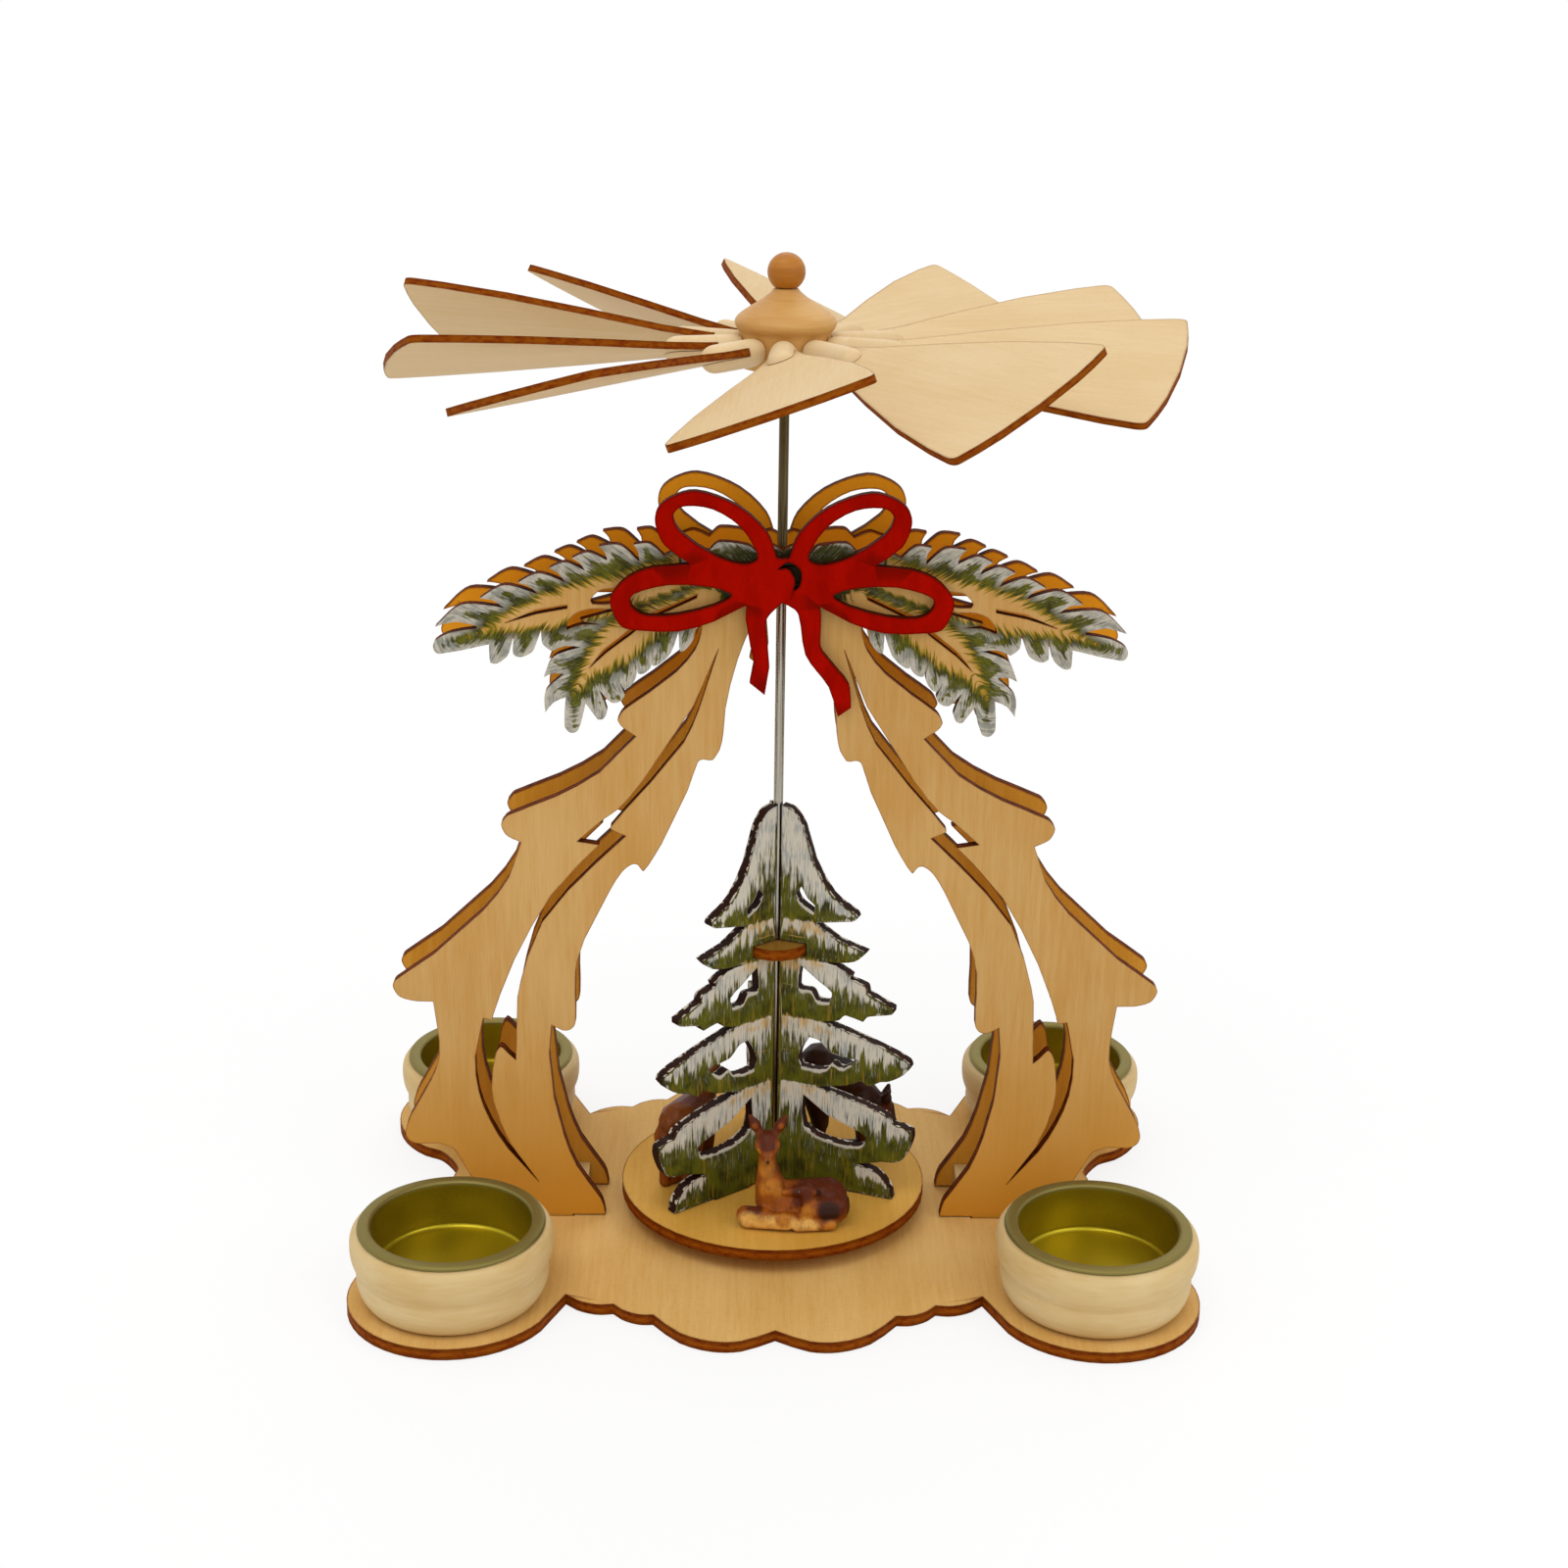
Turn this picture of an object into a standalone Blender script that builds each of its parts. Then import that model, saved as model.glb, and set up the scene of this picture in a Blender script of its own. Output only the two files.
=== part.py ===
# Christmas pyramid: a candle-driven turntable with a three-winged tree, between two arch panels.
# Lengths are metres, +Z is up and the front faces -Y. Outlines are written in millimetres.
import math

import bmesh
import bpy
from mathutils import Matrix, Vector

MM = 0.001
SEAT = 0.3 * MM            # gap between pieces that touch
TURN_STEP = math.radians(40)   # most turn between two points of a smooth outline
OUTLINE_SAG = 0.1 * MM         # points that stand out less than this are left out of an outline

# Base plate
BASE_THICKNESS = 3.0 * MM
HOLDER_X = 82.0 * MM
HOLDER_Y = 50.0 * MM
LOBE_RADIUS = 27.0 * MM
LOBE_STEPS = 18
FRONT_NOTCHES = [              # share of the way to a holder, and how far it lies past the holder's middle
    (0.65, 0.8 * MM),
    (0.5, 5.4 * MM),
    (0.375, 10.4 * MM),
    (0.0, 17.6 * MM),
]
FRONT_SWELL = [0.15, 0.15, 0.27]   # height of each scallop as a share of its width
SIDE_NOTCH_SHARE = 0.33        # share of the way to a holder
SIDE_NOTCH_OUT = 6.5 * MM      # past the holder's middle
SIDE_MIDDLE_OUT = 3.0 * MM
SIDE_SWELL = 2.2 * MM

# Arch panels
ARCH_THICKNESS = 3.0 * MM
ARCH_SPACING = 17.0 * MM       # between the middles of the two panels
FOOT_INNER = 45.4 * MM
FOOT_OUTER = 77.0 * MM
TENON_WIDTH = 14.0 * MM
BOW_THICKNESS = 2.5 * MM
BRIDGE_RISE = 177.0 * MM       # underside of the bridge above the base's top face
BRIDGE_THICKNESS = 4.0 * MM
BRIDGE_WIDTH = 24.0 * MM
BRIDGE_TENON = 9.0 * MM
SPACER_INNER = 50.5 * MM
SPACER_WIDTH = 8.0 * MM
SPACER_HEIGHT = 7.0 * MM

# Shaft and its bearings
SHAFT_DIAMETER = 2.5 * MM
SHAFT_POINT = 1.6 * MM
RUNNING_GAP = 0.3 * MM
BEARING_DIAMETER = 10.0 * MM
BEARING_HEIGHT = 3.4 * MM
BEARING_FLOOR = 1.2 * MM
BUSH_DIAMETER = 6.0 * MM
BUSH_FLANGE = 8.5 * MM
BUSH_FLANGE_THICKNESS = 0.8 * MM

# Turntable, tree and figures
TURNTABLE_DIAMETER = 82.6 * MM
TURNTABLE_THICKNESS = 3.0 * MM
TURNTABLE_RISE = 4.4 * MM      # underside above the base's top face
WING_THICKNESS = 3.0 * MM
WING_COUNT = 3
WING_PHASE = math.radians(-141.5)
WING_TENON_START = 10.0 * MM
WING_TENON_WIDTH = 11.0 * MM
RING_DIAMETER = 17.5 * MM
RING_THICKNESS = 3.0 * MM
RING_RISE = 67.0 * MM          # underside above the turntable's top face

# Rotor
ROTOR_RISE = 234.0 * MM        # blade axes above the base's top face
BLADE_PITCHES = [math.radians(turn) for turn in (23, 25, 25, 25, 27, 34, 19, 17, 20, 27)]   # each set by hand
BLADE_COUNT = len(BLADE_PITCHES)
BLADE_PHASE = math.radians(-20.9)
BLADE_THICKNESS = 1.8 * MM
BLADE_START = 18.0 * MM
BLADE_TIP = 97.3 * MM
BLADE_WIDTH = 46.0 * MM
BLADE_ROOT_WIDTH = 6.8 * MM
HUB_DIAMETER = 22.4 * MM
HUB_RIDGE_DIAMETER = 25.0 * MM
HUB_BELOW_AXES = 5.0 * MM
HUB_BAND = 11.0 * MM
HUB_HEIGHT = 19.2 * MM
HUB_TOP_DIAMETER = 6.4 * MM
HUB_FOOT_EDGE = 0.8 * MM       # broken edge round the hub's underside
SHAFT_IN_HUB = 12.0 * MM
FINIAL_DIAMETER = 9.3 * MM
FINIAL_TENON_DIAMETER = 3.0 * MM
FINIAL_TENON = 4.0 * MM
PEG_DIAMETER = 6.8 * MM
PEG_END = 30.5 * MM
PEG_TENON_DIAMETER = 3.2 * MM
PEG_TENON_START = 7.4 * MM
PEG_FIT = 0.15 * MM

# Candle holders and their metal cups
HOLDER_HEIGHT = 19.2 * MM
HOLDER_FOOT_RADIUS = 23.4 * MM
HOLDER_BODY_RADIUS = 24.6 * MM
HOLDER_WAIST_RADIUS = 24.3 * MM
HOLDER_BEAD_RADIUS = 25.7 * MM
HOLDER_RIM_RADIUS = 24.2 * MM
CUP_RIM_RADIUS = 23.75 * MM
CUP_INNER_RADIUS = 20.2 * MM
CUP_WALL = 0.8 * MM
CUP_DEPTH = 13.0 * MM
CUP_RIM_THICKNESS = 1.0 * MM

# Heights that follow from the sizes above
BASE_TOP = BASE_THICKNESS
TABLE_TOP = BASE_TOP + TURNTABLE_RISE + TURNTABLE_THICKNESS
ROTOR_Z = BASE_TOP + ROTOR_RISE
SHAFT_RADIUS = SHAFT_DIAMETER / 2
HUB_RADIUS = HUB_DIAMETER / 2
WING_INNER = SHAFT_RADIUS + SEAT
HUB_BOTTOM = ROTOR_Z - HUB_BELOW_AXES
BRIDGE_Z = BASE_TOP + BRIDGE_RISE


def material(name, color, roughness, metallic=0.0):
    made = bpy.data.materials.new(name)
    made.use_nodes = True
    made.diffuse_color = color + (1.0,)
    shader = made.node_tree.nodes["Principled BSDF"]
    shader.inputs["Base Color"].default_value = color + (1.0,)
    shader.inputs["Roughness"].default_value = roughness
    shader.inputs["Metallic"].default_value = metallic
    return made


# Smooth outlines
def turn_between(first, second):
    if first.length < 1e-9 or second.length < 1e-9:
        return 0.0
    return abs(first.angle_signed(second, 0.0))


def curve_between(before, start, end, after):
    """Points from start, up to but without end, on a curve that keeps its neighbours' direction."""
    out_handle = (end - before) / 6
    in_handle = (after - start) / 6
    reach = (end - start).length / 2.2
    for handle in (out_handle, in_handle):
        if handle.length > reach:
            handle.length = reach
    first, second = start + out_handle, end - in_handle
    turn = turn_between(first - start, second - first) + turn_between(second - first, end - second)
    count = max(1, math.ceil(turn / TURN_STEP))
    points = []
    for step in range(count):
        t = step / count
        u = 1 - t
        points.append(u**3 * start + 3 * u * u * t * first + 3 * u * t * t * second + t**3 * end)
    return points


def outline(runs):
    """A closed outline from runs of points: smooth along a run, with a corner where two runs meet."""
    points = []
    for run in runs:
        run = [Vector(point) for point in run]
        ends = [2 * run[0] - run[1]] + run + [2 * run[-1] - run[-2]]
        for i in range(len(run) - 1):
            points += curve_between(*ends[i:i + 4])
    return points


def closed_smooth(points):
    """A closed outline with no corner."""
    points = [Vector(point) for point in points]
    count = len(points)
    made = []
    for i in range(count):
        made += curve_between(*(points[(i + k) % count] for k in (-1, 0, 1, 2)))
    return made


def needle(start, tip, end, bulge=0.2, dip=0.12):
    """Two runs around a pointed needle: its full upper side, then its hollow lower side."""
    start, tip, end = Vector(start), Vector(tip), Vector(end)
    upper, lower = tip - start, end - tip
    crest = start + upper * 0.55 + Vector((-upper.y, upper.x)) * bulge
    hollow = tip + lower * 0.5 - Vector((-lower.y, lower.x)) * dip
    return [[start, crest, tip], [tip, hollow, end]]


def lobe(start, tip, end, fullness=0.85, tip_width=0.7):
    """One run around a round-ended finger, nearly as wide as the gap between its notches."""
    start, tip, end = Vector(start), Vector(tip), Vector(end)
    half = (end - start) / 2
    foot = (start + end) / 2
    along = tip - foot
    belly, shoulder = foot + along * 0.42, foot + along * 0.84
    return [[start, belly - half * fullness, shoulder - half * tip_width, tip,
             shoulder + half * tip_width, belly + half * fullness, end]]


def thinned(loop):
    """The closed loop without the points that hardly stand out from their neighbours."""
    kept = loop[:1]
    passed = []
    for point, after in zip(loop[1:], loop[2:] + loop[:1]):
        passed.append(point - kept[-1])
        chord = after - kept[-1]
        slack = OUTLINE_SAG * chord.length
        if any(abs(chord.x * offset.y - chord.y * offset.x) > slack for offset in passed):
            kept.append(point)
            passed = []
    return kept


def mirrored(points):
    return [Vector((-point[0], point[1])) for point in points]


def both_sides(half):
    """A closed outline from its right half, whose first and last points lie on the middle line."""
    return half + mirrored(half[-2:0:-1])


def rectangle(left, right, low, high):
    return [Vector(point) for point in ((left, low), (right, low), (right, high), (left, high))]


def millimetres(points):
    return [Vector(point) * MM for point in points]


# Objects
def named(name, data, finish, parent=None):
    made = bpy.data.objects.new(name, data)
    bpy.context.scene.collection.objects.link(made)
    made.data.materials.clear()
    made.data.materials.append(finish)
    made.parent = parent
    return made


def plate(name, loops, thickness, finish, parent=None):
    """A sheet cut to closed loops in its own XY plane; loops inside the first are holes."""
    curve = bpy.data.curves.new(name, "CURVE")
    curve.dimensions = "2D"
    curve.fill_mode = "BOTH"
    curve.extrude = thickness / 2
    for loop in map(thinned, loops):
        spline = curve.splines.new("POLY")
        spline.points.add(len(loop) - 1)
        spline.use_cyclic_u = True
        for point, place in zip(spline.points, loop):
            point.co = (place[0], place[1], 0, 1)
    sheet = bpy.data.objects.new(name, curve)
    mesh = bpy.data.meshes.new_from_object(sheet)
    bpy.data.objects.remove(sheet)
    shape = bmesh.new()
    shape.from_mesh(mesh)
    bmesh.ops.remove_doubles(shape, verts=shape.verts, dist=1e-6)
    bmesh.ops.recalc_face_normals(shape, faces=shape.faces)
    shape.to_mesh(mesh)
    shape.free()
    return named(name, mesh, finish, parent)


def turned_mesh(name, profile, steps):
    """A body turned about Z from (radius, height) points, listed from its top down its outer side."""
    mesh = bpy.data.meshes.new(name)
    shape = bmesh.new()
    points = [shape.verts.new((radius, 0, height)) for radius, height in profile]
    for first, second in zip(points, points[1:] + points[:1]):
        if first.co.x > 1e-7 or second.co.x > 1e-7:
            shape.edges.new((first, second))
    bmesh.ops.spin(shape, geom=shape.verts[:] + shape.edges[:], axis=(0, 0, 1), cent=(0, 0, 0),
                   steps=steps, angle=2 * math.pi, use_merge=True)
    bmesh.ops.remove_doubles(shape, verts=shape.verts, dist=1e-6)
    bmesh.ops.recalc_face_normals(shape, faces=shape.faces)
    for face in shape.faces:
        face.smooth = True
    shape.to_mesh(mesh)
    shape.free()
    mesh.set_sharp_from_angle(angle=math.radians(35))
    return mesh


def box_mesh(name, size, middle=(0, 0, 0)):
    mesh = bpy.data.meshes.new(name)
    shape = bmesh.new()
    bmesh.ops.create_cube(shape, size=1, matrix=Matrix.Translation(middle) @ Matrix.Diagonal((*size, 1)))
    shape.to_mesh(mesh)
    shape.free()
    return mesh


def cut(target, cutters):
    """Cuts closed meshes out of an object with Boolean modifiers, and keeps the cut mesh."""
    for number, mesh in enumerate(cutters):
        cutter = bpy.data.objects.new(f"{target.name}_cutter_{number}", mesh)
        bpy.context.scene.collection.objects.link(cutter)
        cutter.parent = target
        modifier = target.modifiers.new("cut", "BOOLEAN")
        modifier.operation = "DIFFERENCE"
        modifier.object = cutter
    graph = bpy.context.evaluated_depsgraph_get()
    result = bpy.data.meshes.new_from_object(target.evaluated_get(graph))
    target.modifiers.clear()
    for child in list(target.children):
        bpy.data.objects.remove(child)
    target.data = result


def empty(name, matrix, parent=None):
    made = bpy.data.objects.new(name, None)
    bpy.context.scene.collection.objects.link(made)
    made.parent = parent
    made.matrix_local = matrix
    return made


# Base plate
def base_loops():
    """The base: a round lobe at each corner, joined by scallops along every side."""
    front = [(share * HOLDER_X, HOLDER_Y + past) for share, past in FRONT_NOTCHES]
    side = [(HOLDER_X + SIDE_NOTCH_OUT, SIDE_NOTCH_SHARE * HOLDER_Y), (HOLDER_X + SIDE_MIDDLE_OUT, 0)]
    runs = []
    for (x0, y0), (x1, y1), share in zip(front[::-1], front[-2::-1], FRONT_SWELL[::-1]):
        start, end = Vector((x0, y0)), Vector((x1, y1))
        across = end - start
        swell = Vector((-across.y, across.x)) * share
        crest = start + across * 0.45 + swell
        runs.append([start, start + (crest - start) * 0.5 + swell * 0.28, crest,
                     end + (crest - end) * 0.5 + swell * 0.28, end])
    middle = Vector((HOLDER_X, HOLDER_Y))
    first_angle = (Vector(front[0]) - middle)
    last_angle = (Vector(side[0]) - middle)
    start_turn = math.atan2(first_angle.y, first_angle.x)
    end_turn = math.atan2(last_angle.y, last_angle.x)
    if end_turn > start_turn:
        end_turn -= 2 * math.pi
    around = []
    for step in range(1, LOBE_STEPS):
        angle = start_turn + (end_turn - start_turn) * step / LOBE_STEPS
        around.append(middle + Vector((math.cos(angle), math.sin(angle))) * LOBE_RADIUS)
    runs.append([Vector(front[0])] + around + [Vector(side[0])])
    start, end = Vector(side[0]), Vector(side[1])
    runs.append([start, (start + end) / 2 + Vector((SIDE_SWELL, 0)), end])
    quarter = outline(runs) + [end]
    half = quarter + [Vector((p.x, -p.y)) for p in quarter[-2::-1]]
    outer = both_sides(half)
    holes = []
    for side_of in (-1, 1):
        for panel in (-1, 1):
            middle_x = side_of * (FOOT_INNER + FOOT_OUTER) / 2
            middle_y = panel * ARCH_SPACING / 2
            half_x = TENON_WIDTH / 2 + SEAT
            half_y = ARCH_THICKNESS / 2 + SEAT
            holes.append(rectangle(middle_x - half_x, middle_x + half_x,
                                   middle_y - half_y, middle_y + half_y))
    return [outer] + holes


# Arch panels, whose outlines are millimetres from the middle line and from the base's top face
CROWN = [
    [(0, 184.9), (3, 186.3), (6.8, 184.8)],
    [(6.8, 184.8), (9, 186.3), (15.5, 187), (18.4, 184.6)],
    [(18.4, 184.6), (23, 186.2), (29.4, 183.4)],
]
OUTER_BRANCH_TOP = [        # tip, then the notch after it
    ((36.9, 186.1), (35.6, 181.9)),
    ((45.5, 185.6), (43.4, 182)),
    ((52.2, 182.5), (49, 179.4)),
    ((57.9, 179.9), (54, 176.4)),
    ((65.7, 176.1), (60.8, 173.3)),
    ((75.2, 172), (69.2, 169.7)),
    ((86.5, 164.6), (76.2, 164.9)),
]
OUTER_BRANCH_END = ((76.2, 164.3), (87, 158.6), (73.2, 160.2))
OUTER_BRANCH_LOW = [
    ((70.9, 155.4), (67, 162.9)),
    ((65, 157), (60.1, 164)),
]
INNER_BRANCH_POINTED = [
    ((57.6, 158.6), (50.3, 159.7)),
    ((59.6, 151.8), (54.5, 152.7)),
    ((59.4, 142.5), (54.2, 146.6)),
]
INNER_BRANCH_LOW = [
    ((53.1, 137.2), (49.2, 145)),
    ((44.6, 141.2), (45.8, 148.6)),
    ((40.6, 145.6), (41, 151.5)),
    ((37.7, 149.9), (36.9, 156.2)),
    ((34.2, 153.2), (32.3, 159)),
    ((30.2, 155.8), (25.8, 163.9)),
    ((23.7, 159.7), (20.6, 169.5)),
]
LEG_OUTSIDE = [
    [(20.6, 169.5), (20, 165), (21.6, 159.5), (26.4, 153.5), (33, 148.2), (39.6, 143.4)],
    [(39.6, 143.4), (41.2, 140.7), (39.4, 138.3), (36.6, 136.4)],
    [(36.6, 136.4), (45.9, 126.7), (57.5, 119.9), (69.4, 114.9)],
    [(69.4, 114.9), (71.2, 112.6), (69.9, 109.4), (66.2, 107.5)],
    [(66.2, 107.5), (69.5, 98), (76.2, 88.8), (89.6, 76.2), (99.8, 68.8)],
    [(99.8, 68.8), (100.6, 66.9), (98.8, 63.9), (94.6, 62.7), (90.2, 62.6)],
    [(90.2, 62.6), (89.3, 55), (89.1, 47), (91.4, 40), (97.2, 29.5), (98.7, 25.1), (98, 22.2), (95.2, 21),
     (90.1, 21.2), (86.2, 19.7)],
    [(86.2, 19.7), (84, 16), (79.9, 8.2), (77, 0)],
]
LEG_INSIDE = [
    [(45.4, 0), (46.6, 4.8), (52.9, 14.5), (56.3, 23.8), (58.8, 34.9), (59.9, 48), (59.2, 56.2)],
    [(59.2, 56.2), (56.5, 54.7), (54.2, 54.9), (52.8, 57.2), (52.8, 66), (52.6, 72), (50.2, 80.7), (43.6, 94.1),
     (40.3, 99.6), (37.9, 101.6), (36.2, 101.5), (34.6, 100), (30, 107.5), (23.4, 122), (20.9, 129.5),
     (19.5, 130.4), (17, 130.3), (15.3, 133), (14.4, 137.4), (13.9, 144), (12.6, 150), (10.9, 157), (8.5, 162.4),
     (5.6, 169.4), (0, 173.6)],
]
LEG_SLOT = [
    [(15.8, 159.6), (21.9, 144.7), (34.6, 124.9), (40.9, 117)],
    [(40.9, 117), (45.1, 113.9), (51.8, 107.9)],
    [(51.8, 107.9), (46.1, 107)],
    [(46.1, 107), (51.3, 101.7), (58.5, 93.2), (68.6, 74.7), (74.6, 58.6), (75, 57.4), (77.2, 57.9)],
    [(77.2, 57.9), (79.5, 46.8), (78.8, 36.5), (75.9, 27.9), (71.3, 19.6), (63.3, 9.8)],
    [(63.3, 9.8), (70.7, 21), (75, 33.7), (75.3, 40), (74.4, 46.7), (72.8, 49.8), (70.6, 47.7), (68.8, 46)],
    [(68.8, 46), (68.3, 60), (67.3, 67.8), (61.2, 85.4), (47, 102), (39.3, 109.5)],
    [(39.3, 109.5), (42.9, 111.1), (42.8, 112.6), (33, 124), (24.4, 135), (20.6, 143.9), (15.8, 159.6)],
]
OUTER_VEIN = [[(69, 165.8), (61.2, 169.2), (53.5, 170.6)], [(53.5, 170.6), (53.5, 169.7)],
              [(53.5, 169.7), (61.2, 168.2), (69, 165.8)]]
INNER_VEIN = [[(48.2, 154.3), (44.6, 159), (38.2, 164.2), (32.6, 168.6), (21.1, 173.7)],
              [(21.1, 173.7), (21.3, 172.7)],
              [(21.3, 172.7), (32.4, 167.4), (37.6, 163.2), (44.1, 158.2), (48.2, 154.3)]]
UPPER_GAP = [[(38.6, 175), (44.8, 174.6), (47.6, 172), (47.2, 170.9)],
             [(47.2, 170.9), (42.5, 171.2), (38.6, 175)]]
LOWER_GAP = [[(40.6, 169.6), (47.4, 169.6), (51.4, 168.4), (53.6, 165.6), (53.8, 164.2)],
             [(53.8, 164.2), (50, 165.6), (45.2, 165.6)],
             [(45.2, 165.6), (50.4, 166.8), (40.6, 169.6)]]


def needles(make, start, rows):
    runs = []
    for tip, end in rows:
        runs += make(start, tip, end)
        start = end
    return runs


def arch_loops():
    """One arch panel: crown, fir branches, stepped legs with tenoned feet, slots and the bridge's mortise."""
    runs = CROWN + needles(needle, CROWN[-1][-1], OUTER_BRANCH_TOP)
    runs += [[OUTER_BRANCH_TOP[-1][1], OUTER_BRANCH_END[0]]]
    start, tip, end = OUTER_BRANCH_END
    runs += [[start, (82.5, 163.2), (86.6, 161), tip, (85.4, 157.6), (79, 158.9), end]]
    runs += needles(lobe, end, OUTER_BRANCH_LOW)
    runs += needles(needle, OUTER_BRANCH_LOW[-1][1], INNER_BRANCH_POINTED)
    runs += needles(lobe, INNER_BRANCH_POINTED[-1][1], INNER_BRANCH_LOW)
    half = millimetres(outline(runs + LEG_OUTSIDE)) + millimetres([LEG_OUTSIDE[-1][-1]])
    half[-1] = Vector((FOOT_OUTER, 0))
    middle = (FOOT_INNER + FOOT_OUTER) / 2
    depth = -BASE_THICKNESS
    for x, z in ((middle + TENON_WIDTH / 2, 0), (middle + TENON_WIDTH / 2, depth),
                 (middle - TENON_WIDTH / 2, depth), (middle - TENON_WIDTH / 2, 0)):
        half.append(Vector((x, z)))
    inside = millimetres(outline(LEG_INSIDE)) + millimetres([LEG_INSIDE[-1][-1]])
    inside[0] = Vector((FOOT_INNER, 0))
    outer = both_sides(half + inside)
    holes = []
    for runs in (LEG_SLOT, OUTER_VEIN, INNER_VEIN, UPPER_GAP, LOWER_GAP):
        hole = millimetres(outline(runs))
        holes += [hole, mirrored(hole)]
    reach = BRIDGE_TENON / 2 + SEAT
    holes.append(rectangle(-reach, reach, BRIDGE_RISE - SEAT, BRIDGE_RISE + BRIDGE_THICKNESS + SEAT))
    return [outer] + holes


# Bows, in millimetres like the arch panels
BOW_LOOPS = [
    [(0, 183.6), (1.6, 184), (3.9, 190), (10.7, 196.4), (21.5, 200.3), (29.8, 197.2), (31.5, 192.1), (29.3, 186.7),
     (22.8, 182)],
    [(22.8, 182), (32.2, 181.1), (38.1, 178.7), (41.9, 174.8), (42.6, 171.2), (40.2, 166.1), (35.2, 164.9),
     (25.7, 164.8), (16.8, 167.5), (8.9, 171.7)],
]
SHORT_TAIL = [
    [(8.9, 171.7), (9.1, 168.1), (7.8, 160.9), (7, 156.8), (7.9, 151.6)],
    [(7.9, 151.6), (4.1, 148.5)],
    [(4.1, 148.5), (3, 155.8), (3.8, 163.6), (3.7, 168.4), (0, 172.4)],
]
LONG_TAIL = [
    [(8.9, 171.7), (9.7, 169.5), (9.6, 163), (10.4, 159.6), (14.3, 155), (17.2, 150.9), (17.7, 145.4)],
    [(17.7, 145.4), (14.4, 143)],
    [(14.4, 143), (11.9, 150.8), (5.9, 159.1), (4, 169.4), (0, 172.4)],
]
UPPER_LOOP_HOLE = [(6.4, 183.2), (7.2, 186.5), (10.6, 191.5), (17.5, 195.8), (23.9, 196.5), (27.1, 194.3),
                   (24.8, 189.7), (16.9, 184.3), (10.5, 182.2)]
LOWER_LOOP_HOLE = [(12.6, 174.5), (19.4, 176.4), (28.3, 176.6), (36.8, 174.2), (37.2, 170.9), (33.2, 168.8),
                   (25.8, 169.2), (16.8, 171.6)]
KNOT_CRESCENT = [[(-1.3, 180.8), (1.3, 182.7), (4.4, 180.6), (4.2, 176.8), (2.6, 175.4)],
                 [(2.6, 175.4), (3, 178.2), (1.3, 181), (-1.3, 180.8)]]


def bow_loops():
    """A bow with four loops, a short left tail, a long right tail and a cut crescent as its knot."""
    right = outline(BOW_LOOPS + LONG_TAIL) + [Vector(LONG_TAIL[-1][-1])]
    left = outline(BOW_LOOPS + SHORT_TAIL) + [Vector(SHORT_TAIL[-1][-1])]
    outer = right + mirrored(left[-2:0:-1])
    loops = [outer, outline(KNOT_CRESCENT)]
    for hole in (UPPER_LOOP_HOLE, LOWER_LOOP_HOLE):
        made = closed_smooth(hole)
        loops += [made, mirrored(made)]
    return [millimetres(loop) for loop in loops]


# Tree wings, in millimetres from the shaft's axis and from the turntable's top face
WING_EDGE = [
    [(1.5, 108), (4.8, 107), (7.6, 103), (10.6, 93.6), (15.8, 85.3), (22.4, 80.9)],
    [(22.4, 80.9), (23, 79.6), (21.4, 78.5), (16.4, 77.5), (11.4, 76.6)],
    [(11.4, 76.6), (18, 72.6), (25.8, 70.4)],
    [(25.8, 70.4), (22.6, 67.4), (17.2, 66.2), (11.8, 66)],
    [(11.8, 66), (17.4, 65.4), (21.8, 63.2)],
    [(21.8, 63.2), (21.4, 62)],
    [(21.4, 62), (25.6, 60.9), (26.4, 58.8)],
    [(26.4, 58.8), (33.6, 55.8)],
    [(33.6, 55.8), (33.2, 54), (27, 52.4), (25.4, 50.6)],
    [(25.4, 50.6), (20.6, 51.6), (18.4, 49.8), (14.4, 48.8)],
    [(14.4, 48.8), (26, 45.6), (38, 41.2)],
    [(38, 41.2), (38.8, 39.4), (37, 37.2), (33, 34.6), (30.6, 34)],
    [(30.6, 34), (27.4, 32.2), (25.4, 33.4)],
    [(25.4, 33.4), (21, 31.2), (13, 29.4)],
    [(13, 29.4), (24, 27), (33.6, 23.9)],
    [(33.6, 23.9), (35, 22.2)],
    [(35, 22.2), (39.8, 21), (39.4, 16.4), (37.6, 12.4), (35, 11)],
    [(35, 11), (31.6, 10.6), (24.4, 8.4)],
    [(24.4, 8.4), (30.4, 7), (33.8, 3.4), (34.8, 0)],
]
WING_HOLES = [
    [[(7.4, 86.2), (5.9, 84), (7.6, 81.4), (11, 79.4)], [(11, 79.4), (11.2, 81.4), (9, 83.4), (7.4, 86.2)]],
    [[(7.6, 64), (6.9, 57.6), (10.6, 57), (12.4, 54.6), (15.8, 54.6)],
     [(15.8, 54.6), (16.4, 57.6), (13, 60), (7.6, 64)]],
    [[(10.4, 43.6), (7.8, 39), (8.3, 34.6), (15, 34.8), (17, 37), (20, 36), (24, 39.2)],
     [(24, 39.2), (17, 40), (13.4, 43), (10.4, 43.6)]],
    [[(9, 26.5), (8.6, 21), (9.4, 17), (12.8, 14.9), (19, 13.6), (25.4, 14), (27.2, 17)],
     [(27.2, 17), (24.6, 18.6), (16, 21.6), (9, 26.5)]],
]


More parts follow.
